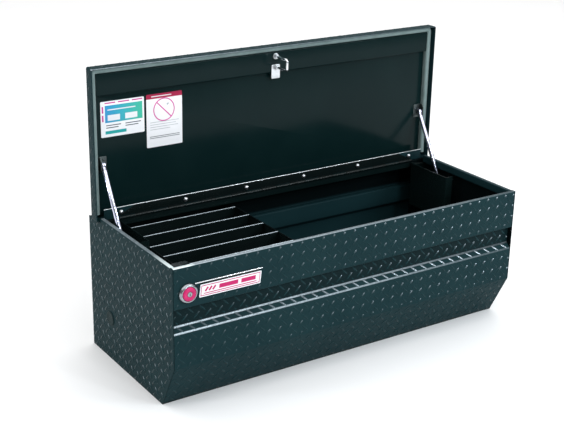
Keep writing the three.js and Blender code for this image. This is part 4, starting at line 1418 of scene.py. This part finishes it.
@dataclass(frozen=True)
class Lid:
    """Tread lid pan, glossy inner panel, front channel and foam seal, laid out closed."""

    half: float = 609.6
    front: float = -12.0
    low: float = 411.0
    top: float = 448.0
    flange_half: float = 583.0
    inner_half: float = 589.3
    channel_rear: float = 72.0
    channel_face: float = 428.0
    seal_width: float = 17.0
    back_half: float = 603.0
    aft_half: float = 598.0
    flange_depth: float = 31.0
    flange_gap: float = 4.8
    panel: float = 4.3
    liner_face: float = 440.8

    def build(self) -> None:
        """Builds every piece of the lid."""
        self.pan()
        self.inner_panel()
        self.seal()
        self.tread()

    def pan(self) -> None:
        """Pan with turned-down walls; the rear wall stops above the hinge and folds in."""
        y1, corner = PLAN.hinge_y, 5.0
        h, step = self.back_half, 0.8
        back = [(h + step, y1), (h, y1), (-h, y1), (-h - step, y1)]
        outline = self.pan_outline(back, corner)
        under = PLAN.hinge_z + self.flange_gap
        angle = np.linspace(0, math.pi / 2, 5)
        outer = [(BEND * (1 - math.sin(a)), self.top - BEND * (1 - math.cos(a))) for a in angle]
        lip = [(0, self.low + 0.5), (0.5, self.low), (SHEET - 0.5, self.low), (SHEET, self.low + 0.5)]
        r = BEND - SHEET
        inner = [(SHEET + r * (1 - math.cos(a)), self.top - SHEET - r * (1 - math.sin(a)))
                 for a in angle]
        steps = [*outer, *lip, *inner]
        inward = left_normals(outline, True)
        raised = (outline[:, 1] > y1 - 1) & (np.abs(outline[:, 0]) < h + step / 2)
        rings = []
        for inset, height in steps:
            level = np.where(raised, max(height, under), height)
            rings.append(np.column_stack([outline + inward * inset, level]))
        skin = loft(PLAN.lid.place(np.array(rings)))
        fold = y1 - self.flange_depth
        flange = block((-self.flange_half, fold, under), (self.flange_half, y1 - SHEET, under + SHEET),
                       PLAN.lid, 0.6)
        add_piece("lid_pan", joined([skin, flange]), "lid", LID_COAT, ["lid_skin"])
        # Painted highlight: a thin zinc rod along the flange's fold stands in for the glint on that fold.
        edge = np.linspace((-self.flange_half, fold, under + 1.2), (self.flange_half, fold, under + 1.2), 3)
        add_piece("lid_flange_glint_rod", tube(edge, 1.3, (0, 0, 1), PLAN.lid, 14), "lid", ZINC)

    def pan_outline(self, back: list, corner: float) -> Array:
        """The pan's outline with stations along its rear edge."""
        h, y1 = self.half, PLAN.hinge_y
        loop = rounded([(-h, self.front), (h, self.front), (h, y1), (-h, y1)], corner, True, 5)
        split = 18
        return np.vstack([loop[:split], np.array(back, float), loop[split:]])

    def inner_panel(self) -> None:
        """Flat inner panel and the folded channel that carries the striker."""
        high = self.top - SHEET - SEAM
        outline = rectangle(-self.inner_half, self.inner_half, self.channel_rear + 0.5,
                            PLAN.hinge_y - SHEET - SEAM, 2.5)
        panel = plate(outline, high - self.panel, high, PLAN.lid, 1.4, 4)
        add_piece("lid_inner_panel", panel, "lid", PANEL_COAT, ["lid_liner"])
        near = 8.1
        path = rounded([(near, high), (near, self.channel_face), (self.channel_rear, self.channel_face),
                        (self.channel_rear, high)], 3.5)
        channel = extruded(thick(path, SHEET), -self.inner_half, self.inner_half, LID_SECTION)
        add_piece("lid_channel", channel, "lid", PANEL_COAT, ["lid_front_channel"])

    def seal(self) -> None:
        """Foam seal of D section along the front and both sides, mitred at the corners."""
        w = self.seal_width / 2
        out = self.half - SHEET - SEAM - w
        front = self.front + SHEET + SEAM + w
        rear = PLAN.hinge_y - SHEET - 14
        path = rounded([(-out, rear), (-out, front), (out, front), (out, rear)], w + 1.5, False, 6)
        base, crown = self.top - SHEET - SEAM, PLAN.height + 0.4
        angle = np.linspace(0, math.pi, 9)
        arc = [(-w * math.cos(a), crown + 7 * (1 - math.sin(a))) for a in angle]
        section = np.array([(-w, base), *arc, (w, base)])
        mitre = left_normals(path, False)
        rings = np.concatenate([
            path[:, None] + mitre[:, None] * section[None, :, :1],
            np.broadcast_to(section[None, :, 1:], (len(path), len(section), 1))], axis=2)
        add_piece("lid_foam", loft(PLAN.lid.place(rings)), "lid", SEAL_FOAM,
                  ["lid_seal"])

    def tread(self) -> None:
        """Bars on the lid's top and its four turned-down walls."""
        bars = TreadBars(36.0, 36.0)
        h, y0, y1, low, high = self.half, self.front, PLAN.hinge_y, self.low, self.top
        roof = PLAN.lid.facing(Facing.TOP, 0, 0, high)
        fore = PLAN.lid.facing(Facing.FRONT, 0, y0, 0)
        aft = PLAN.lid.facing(Facing.REAR, 0, y1, 0)
        right = PLAN.lid.facing(Facing.RIGHT, h, 0, 0)
        wall = bars.shell(right, corners(y0 + 4, y1 - 4, low, high - 3), (8, 429))
        shells = [
            bars.shell(roof, corners(3 - h, h - 3, y0 + 3, y1 - 3), (7, 8)),
            bars.shell(fore, corners(4 - h, h - 4, low, high - 3), (7, 429)),
            bars.shell(aft, corners(-self.aft_half, self.aft_half, low + 7, high - 3), (7, 432)),
            wall, wall.mirrored(),
        ]
        add_tread("lid_tread_bars", shells, "lid", TREAD_BAR)


@dataclass(frozen=True)
class Striker:
    """Bail with its plate and two washered hex nuts, on the lid's channel."""

    near: float = 22.0
    far: float = 55.0
    bar: float = 365.0
    top: float = 440.0
    radius: float = 3.8
    washer: float = 9.5
    hex: float = 7.4

    def build(self) -> None:
        """Builds bail, plate and nuts."""
        flat = rounded([(self.near, self.top), (self.near, self.bar), (self.far, self.bar),
                        (self.far, self.top)], 7, False, 8)
        path = np.column_stack([np.zeros(len(flat)), flat])
        add_piece("striker_loop", tube(path, self.radius, (1, 0, 0), PLAN.lid, 20), "lid",
                  CHROME, ["striker_bail"])
        outline = rectangle(-15, 15, self.far - 8, LID.channel_rear + 18, 3)
        add_piece("striker_pad", plate(outline, 425.3, 427.8, PLAN.lid, 0.7), "lid",
                  ZINC, ["striker_plate"])
        self.nut("front", self.near, 427.8)
        self.nut("rear", self.far, 425.1)

    def nut(self, word: str, y: float, face: float) -> None:
        """Chamfered hexagon on a washer.

        Args:
            word: which leg.
            y: the leg's place.
            face: the surface that it is screwed against.
        """
        ring = PLAN.lid.facing(Facing.TOP, 0, y, face)
        w, b = self.washer, self.radius + 0.2
        washer = turned([(b, 0), (w - 0.4, 0), (w, -0.4), (w, -1.6), (w - 0.4, -2), (b, -2)], ring,
                        36, True)
        angle = np.arange(6) * math.pi / 3
        hexagon = rounded(list(zip(self.hex * np.cos(angle), self.hex * np.sin(angle))), 0.6, True, 2)
        steps = [(0.5, -9), (0.0, -8.3), (0.0, -2.5), (0.3, -2)]
        add_piece(f"striker_{word}_hex", joined([washer, stacked(hexagon, steps, ring)]), "lid",
                  ZINC, [f"striker_nut_{word}"])


@dataclass(frozen=True)
class GasStrut:
    """Gas strut between a stud on the end panel and a bracket on the lid."""

    x: float = 575.4
    low: tuple[float, float] = (200.0, 145.0)
    high: tuple[float, float] = (450.0, 575.0)
    tube_radius: float = 6.8
    tube_length: float = 232.0
    rod_radius: float = 4.0
    rod_length: float = 266.0
    neck: float = 14.0
    eye: float = 8.0
    eye_width: float = 11.4
    ear_gap: float = 7.9
    ear_half: float = 22.0
    ear_sheet: float = 2.2

    def build(self) -> None:
        """Builds both struts with their studs and brackets."""
        for word, side in SIDES:
            self.rod(word, side)
            self.tube(word, side)
            self.stud(word, side)
            self.bracket(word, side)

    def length(self) -> float:
        """Distance between the eyes."""
        return math.dist(self.low, self.high)

    def axis(self) -> Axes:
        """Frame at the left strut's lower eye with w along the strut and u along x."""
        y = (self.high[0] - self.low[0]) / self.length()
        z = (self.high[1] - self.low[1]) / self.length()
        return PLAN.chest.within((-self.x, *self.low), (1, 0, 0), (0, z, -y), (0, y, z))

    def eye_ring(self, height: float) -> Shell:
        """Ring with rounded shoulders round the stud's axis."""
        axes = self.axis().within((0, 0, height), (0, 1, 0), (0, 0, 1), (1, 0, 0))
        w, r, b = self.eye_width / 2, self.eye, 4.4
        profile = [(b, -w), (r - 1.6, -w), (r - 0.4, 0.7 - w), (r, 2 - w), (r, w - 2),
                   (r - 0.4, w - 0.7), (r - 1.6, w), (b, w)]
        return turned(profile, axes, 32, True)

    def rod(self, word: str, side: int) -> None:
        """Polished rod with its lower end fitting."""
        r = self.rod_radius
        profile = [(5.0, 5.5), (5.5, 7), (5.5, 22), (5.1, 23.4), (r, 24), (r, self.rod_length - 1),
                   (r - 1, self.rod_length)]
        shell = joined([self.eye_ring(0), turned(profile, self.axis(), 32)])
        add_piece(f"{word}_rod", mirrored_if(side, shell), f"{word}_strut_rod",
                  CHROME, [f"{word}_strut_rod"])

    def tube(self, word: str, side: int) -> None:
        """Pressure tube: rolled-in mouth, a crimp ring below it and a welded end."""
        end = self.length() - self.neck
        start = end - self.tube_length
        r, b = self.tube_radius, self.rod_radius + 1.1
        profile = [(b, start), (r - 1.6, start), (r - 0.5, start + 0.6), (r, start + 2), (r, start + 9),
                   (r - 0.7, start + 10), (r - 0.7, start + 11.4), (r, start + 12.4), (r, end - 3),
                   (r - 0.6, end - 1), (r - 1.8, end), (5.5, end + 0.3), (5.5, end + 7),
                   (4.8, end + 9), (0.05, end + 9), (0.05, end - 8), (b, end - 8)]
        shell = joined([self.eye_ring(self.length()), turned(profile, self.axis(), 40, True)])
        add_piece(f"{word}_tube", mirrored_if(side, shell), f"{word}_strut_tube",
                  STRUT_ENAMEL, [f"{word}_strut_tube"])

    def stud(self, word: str, side: int) -> None:
        """Shouldered stud on a round foot against the end panel."""
        wall = PLAN.half - SHEET - SEAM
        axis = along(PLAN.chest, (-wall, *self.low), (1, 0, 0))
        shoulder = wall - self.x - self.eye_width / 2 - 1
        tip = wall - self.x + self.eye_width / 2 + 1
        profile = [(0.05, 0), (13.4, 0), (14, 0.6), (14, 2.2), (13.2, 3), (7.6, 3), (7, 3.6),
                   (7, shoulder - 0.4), (6.6, shoulder), (4, shoulder), (4, tip - 0.8), (3.2, tip),
                   (0.05, tip)]
        add_piece(f"{word}_stud", mirrored_if(side, turned(profile, axis, 36)), "chest",
                  ZINC, [f"{word}_strut_stud"])

    def bracket(self, word: str, side: int) -> None:
        """Angle bracket: a rounded ear with the pin, and a riveted foot on the inner panel."""
        y = PLAN.hinge_y - (self.high[1] - PLAN.hinge_z)
        z = PLAN.hinge_z + (self.high[0] - PLAN.hinge_y)
        face, top, half = self.x + self.ear_gap, LID.liner_face, self.ear_half
        outer = -face - self.ear_sheet
        ear = rounded([(y - half, top), (y - half, z - 1), (y - 13, z - 9), (y + 13, z - 9),
                       (y + half, z - 1), (y + half, top)][::-1], 3, True)
        upright = extruded(ear, outer, -face, LID_SECTION)
        foot = plate(rectangle(outer, -face + 24, y - half, y + half, 3), top - 1.8, top, PLAN.lid, 0.5)
        pin_axis = along(PLAN.lid, (-face, y, z), (1, 0, 0))
        reach = face - self.x - self.eye_width / 2 - 0.4
        pin = turned([(0.05, -2.4), (5.4, -2.4), (5.6, -2.2), (5.6, 0), (4, 0), (4, reach),
                      (0.05, reach)], pin_axis, 28)
        rivets = []
        for shift in (-13, 13):
            base = PLAN.lid.facing(Facing.TOP, -face + 14, y + shift, top - 1.8)
            rivets.append(turned([(0.05, -2.0), (1.8, -1.7), (3.0, -0.9), (3.4, 0.3), (0.05, 0.3)],
                                 base, 24))
        add_piece(f"{word}_bracket", mirrored_if(side, joined([upright, foot, pin, *rivets])), "lid",
                  DARK_ZINC, [f"{word}_strut_bracket"])


@dataclass(frozen=True)
class Guards:
    """Folded sheets inside both ends that keep the load off the struts."""

    plate_x: float = 536.0
    lip_x: float = 563.0
    front: float = 250.0
    rear: float = 430.0
    low: float = 262.0
    high: float = 406.0
    wing_high: float = 398.0
    sheet: float = 2.0

    def build(self) -> None:
        """Builds both guards: a vertical sheet folded outwards at the front and the rear."""
        wing = PLAN.half - SHEET - SEAM
        path = rounded([(-self.lip_x, self.front), (-self.plate_x, self.front),
                        (-self.plate_x, self.rear), (-self.plate_x - 7, self.rear),
                        (-self.plate_x - 9, self.rear), (-wing, self.rear)], 3.0)
        section = thick(path, self.sheet)
        top = np.where((section[:, 0] < -self.plate_x - 8) & (section[:, 1] > self.front + 50),
                       self.wing_high, self.high)
        rings = np.stack([
            np.column_stack([section, np.full(len(section), self.low)]),
            np.column_stack([section, top])])
        shell = loft(PLAN.chest.place(rings))
        for word, side in SIDES:
            add_piece(f"{word}_guard", mirrored_if(side, shell), "chest", INNER_COAT,
                      [f"{word}_end_guard"])


@dataclass(frozen=True)
class Tray:
    """Sliding tray with a rolled rim and five hemmed dividers."""

    left: float = -534.0
    right: float = -157.0
    front: float = 6.0
    rear: float = 499.0
    low: float = 308.9
    high: float = 384.0
    sheet: float = 1.5
    divider_rear: float = 417.0
    divider_pitch: float = 79.5
    dividers: int = 5

    def build(self) -> None:
        """Builds the pan and the dividers."""
        outline = rectangle(self.left, self.right, self.front, self.rear, 3.5)
        t, high = self.sheet, self.high
        steps = [(3, self.low), (1, self.low + 0.8), (0.2, self.low + 2), (0, self.low + 3.5),
                 (0, high - 2), (0.3, high - 0.9), (1.1, high - 0.1), (2.0, high - 0.1),
                 (2.9, high - 0.9), (3.1, high - 2), (2.9, high - 3.1), (t, high - 4.4),
                 (t, self.low + 4), (t + 0.5, self.low + 2.4), (t + 2.2, self.low + t)]
        add_piece("tray_box", stacked(outline, steps, PLAN.chest), "tray", LEAF_COAT,
                  ["tray_pan"])
        for i in range(self.dividers):
            self.divider(i)

    def divider(self, index: int) -> None:
        """Thin web with a foot and a folded hem with a round top.

        Args:
            index: place from the rear.
        """
        y = self.divider_rear - index * self.divider_pitch
        low, top = self.low + self.sheet + SEAM, self.high
        angle = np.linspace(0, math.pi, 7)
        crown = [(y + 1.6 * math.cos(a), top - 1.6 + 1.6 * math.sin(a)) for a in angle]
        section = np.array([
            (y - 0.75, low), (y + 12, low), (y + 12, low + 1.5), (y + 1.9, low + 1.5),
            (y + 0.75, low + 2.6), (y + 0.75, top - 8.6), (y + 1.6, top - 7.8), *crown,
            (y - 1.6, top - 7.8), (y - 0.75, top - 8.6)])
        inset = self.sheet + SEAM
        shell = extruded(section, self.left + inset, self.right - inset, SECTION)
        add_piece(f"tray_wall_{index + 1}", shell, "tray", TRAY_COAT,
                  [f"tray_divider_{index + 1}"])


@dataclass(frozen=True)
class Labels:
    """Two printed films on the lid's inner panel."""

    first: tuple[float, float, float, float] = (-573.0, -437.0, 92.0, 196.0)
    second: tuple[float, float, float, float] = (-430.0, -314.0, 90.0, 248.0)
    film_sheet: float = 0.5

    def build(self) -> None:
        """Builds both films; their prints are laid out upright on the open lid."""
        white = (0.88, 0.88, 0.90)
        self.film("panel_film", "panel_label", self.first, white, FIRST_PRINTS)
        self.film("caution_film", "caution_label", self.second, white, SECOND_PRINTS)

    def film(self, name: str, node: str, area: tuple[float, float, float, float], ground: Colour,
             prints: tuple[Print, ...]) -> None:
        """One film with round corners.

        Args:
            name: the piece's name.
            node: the part's node that it stands for.
            area: x and closed y of its edges.
            ground: the film's own colour.
            prints: what is printed on it.
        """
        x0, x1, y0, y1 = area
        face = LID.liner_face - self.film_sheet
        shell = plate(rectangle(x0, x1, y0, y1, 3), face, LID.liner_face, PLAN.lid, 0.15, 2)
        low = PLAN.lid.place(np.array([x0, y1, face]))
        film = PrintedFilm(f"label_film_{name}", ground, prints, 0, 2, (float(low[0]), float(low[2])),
                           ((x1 - x0) * MM, (y1 - y0) * MM), 0.32)
        add_piece(name, shell, "lid", film, [node])


MAGENTA = (0.62, 0.05, 0.30)
INK = (0.03, 0.05, 0.06)
FAINT = (0.42, 0.44, 0.46)
PALE = (0.78, 0.78, 0.80)
NAME_INK = (0.48, 0.003, 0.11)


def boxes(colour: Colour, *areas: tuple[float, float, float, float]) -> tuple[Print, ...]:
    """Printed boxes of one colour, each u0, u1, v0, v1."""
    return tuple(Print(Mark.BOX, colour, area) for area in areas)


def rows(colour: Colour, left: float, rights: Sequence[float], top: float, pitch: float,
         height: float) -> tuple[Print, ...]:
    """Printed lines that stand for writing.

    Args:
        colour: their ink.
        left: u of their left ends.
        rights: u of each line's right end, from the top line down.
        top: v of the top line's lower edge.
        pitch: drop from one line to the next.
        height: the lines' height.

    Returns:
        One box for each line.
    """
    lows = [top - pitch * i for i in range(len(rights))]
    return boxes(colour, *((left, right, low, low + height) for right, low in zip(rights, lows)))


FIRST_PRINTS = (
    *boxes(MAGENTA, (0.10, 0.34, 0.93, 0.965), (0.40, 0.66, 0.93, 0.965), (0.72, 0.96, 0.93, 0.965),
           (0.03, 0.065, 0.44, 0.62), (0.03, 0.065, 0.68, 0.86)),
    Print(Mark.BOX, (0.02, 0.26, 0.60), (0.10, 0.96, 0.40, 0.88), (0.04, 0.48, 0.30)),
    *boxes(PALE, (0.16, 0.44, 0.45, 0.61), (0.56, 0.84, 0.45, 0.61), (0.16, 0.80, 0.74, 0.77)),
    *rows(INK, 0.12, (0.46, 0.40), 0.31, 0.065, 0.025),
    *rows(INK, 0.56, (0.92, 0.86), 0.31, 0.065, 0.025),
    *boxes((0.02, 0.36, 0.36), (0.10, 0.58, 0.08, 0.17)),
)
SECOND_PRINTS = (
    *boxes((0.36, 0.004, 0.05), (-0.1, 1.1, 0.91, 1.1)),
    *boxes(PALE, (0.14, 0.70, 0.945, 0.962)),
    Print(Mark.RING, MAGENTA, (0.49, 0.69, 0.285, 0.014)),
    Print(Mark.STROKE, MAGENTA, (0.29, 0.838, 0.69, 0.542, 0.014)),
    Print(Mark.STROKE, FAINT, (0.57, 0.775, 0.62, 0.80, 0.02)),
    *rows(FAINT, 0.10, (0.90, 0.82, 0.88, 0.66), 0.463, 0.045, 0.01),
    *rows(INK, 0.08, (0.92, 0.92), 0.195, 0.03, 0.011),
)
NAME_PRINTS = (
    *boxes(NAME_INK, (0.02, 0.98, 0.09, 0.91)),
    *boxes(PALE, (0.03, 0.97, 0.15, 0.85)),
    *boxes(NAME_INK, (0.07, 0.93, 0.23, 0.30)),
    *(Print(Mark.STROKE, NAME_INK, (u, 0.42, u + 0.04, 0.72, 0.015)) for u in (0.09, 0.15, 0.21)),
    *boxes(NAME_INK, (0.31, 0.62, 0.40, 0.74), (0.67, 0.91, 0.40, 0.74)),
)
LOCK = PushLock()
PLATE = Nameplate()
LID = Lid()


# ---- studio ----------------------------------------------------------------------------------
@dataclass(frozen=True)
class Softbox:
    """A rectangular area light aimed at a point."""

    name: str
    place: Point
    target: Point
    size: tuple[float, float]
    power: float
    colour: Colour = (1.0, 1.0, 1.0)

    def build(self) -> None:
        """Adds the light."""
        data = bpy.data.lights.new(self.name, "AREA")
        data.shape = "RECTANGLE"
        data.size, data.size_y = self.size
        data.energy = self.power
        data.color = self.colour
        lamp = bpy.data.objects.new(self.name, data)
        lamp.location = self.place
        aim = Vector(self.target) - Vector(self.place)
        lamp.rotation_euler = aim.to_track_quat("-Z", "Y").to_euler()
        bpy.context.scene.collection.objects.link(lamp)


COOL = (0.84, 0.93, 1.0)


@dataclass(frozen=True)
class Studio:
    """Pale floor, white surroundings, soft lights and the camera."""

    camera: Point = (-1.934, -2.7515, 1.640)
    forward: Point = (0.5202, 0.779, -0.35)
    down: Point = (-0.1774, -0.3023, -0.9365)
    lens: float = 76.3
    floor_half: float = 9.0
    world: float = 0.22
    lights: tuple[Softbox, ...] = (
        Softbox("ceiling", (0.5, 1.0, 5.0), (0.5, 1.0, 0.0), (15.0, 15.0), 1050.0),
        Softbox("left", (-4.0, 0.6, 1.15), (-0.6, 0.0, 0.25), (0.3, 0.22), 26.0, COOL),
        Softbox("front", (-0.1, -3.95, 1.7), (0.4, -0.25, 0.3), (0.28, 0.2), 24.0, COOL),
        Softbox("ledge", (0.6, -3.3, 2.8), (0.4, -0.25, 0.25), (0.28, 0.2), 24.0, COOL),
        Softbox("edge_strip", (2.1, -3.1, 2.05), (2.1, -0.25, 0.25), (1.7, 0.3), 60.0, COOL),
    )

    def build(self) -> None:
        """Builds the set and points the camera."""
        self.floor()
        self.surroundings()
        for light in self.lights:
            light.build()
        self.view()

    def floor(self) -> None:
        """A wide flat sheet just under the chest."""
        h, z = self.floor_half, -0.0005
        mesh = bpy.data.meshes.new("studio_floor")
        mesh.from_pydata([(-h, -h, z), (h, -h, z), (h, h, z), (-h, h, z)], [], [(0, 1, 2, 3)])
        g = Graph("studio_floor")
        tone = g.noise(g.place(), 3.0, 2.0)
        g.feed(base_color=g.mix((0.86, 0.86, 0.86), (0.88, 0.88, 0.88), tone), roughness=0.7)
        mesh.materials.append(g.material)
        piece = bpy.data.objects.new("studio_floor", mesh)
        bpy.context.scene.collection.objects.link(piece)

    def surroundings(self) -> None:
        """An even white world."""
        world = bpy.data.worlds.new("studio")
        world.use_nodes = True
        shade = world.node_tree.nodes["Background"]
        shade.inputs[0].default_value = (1.0, 1.0, 1.0, 1.0)
        shade.inputs[1].default_value = self.world
        bpy.context.scene.world = world

    def view(self) -> None:
        """Sets the camera from its forward and down directions."""
        forward = Vector(self.forward).normalized()
        up = -Vector(self.down)
        right = forward.cross(up).normalized()
        up = right.cross(forward)
        data = bpy.data.cameras.new("camera")
        data.lens = self.lens
        data.sensor_width = 36.0
        camera = bpy.data.objects.new("camera", data)
        camera.matrix_world = Matrix((
            (right.x, up.x, -forward.x, self.camera[0]), (right.y, up.y, -forward.y, self.camera[1]),
            (right.z, up.z, -forward.z, self.camera[2]), (0, 0, 0, 1)))
        bpy.context.scene.collection.objects.link(camera)
        bpy.context.scene.camera = camera
        bpy.context.scene.view_settings.view_transform = "Standard"


def main() -> None:
    """Builds every sub-assembly in order, then the studio."""
    logging.basicConfig(level=logging.INFO, format="%(message)s")
    for part in (Body(), LOCK, PLATE, Hinge(), LID, Striker(), GasStrut(), Guards(), Tray(), Labels(),
                 Studio()):
        log.info("building %s", type(part).__name__)
        part.build()


if __name__ == "__main__":
    main()
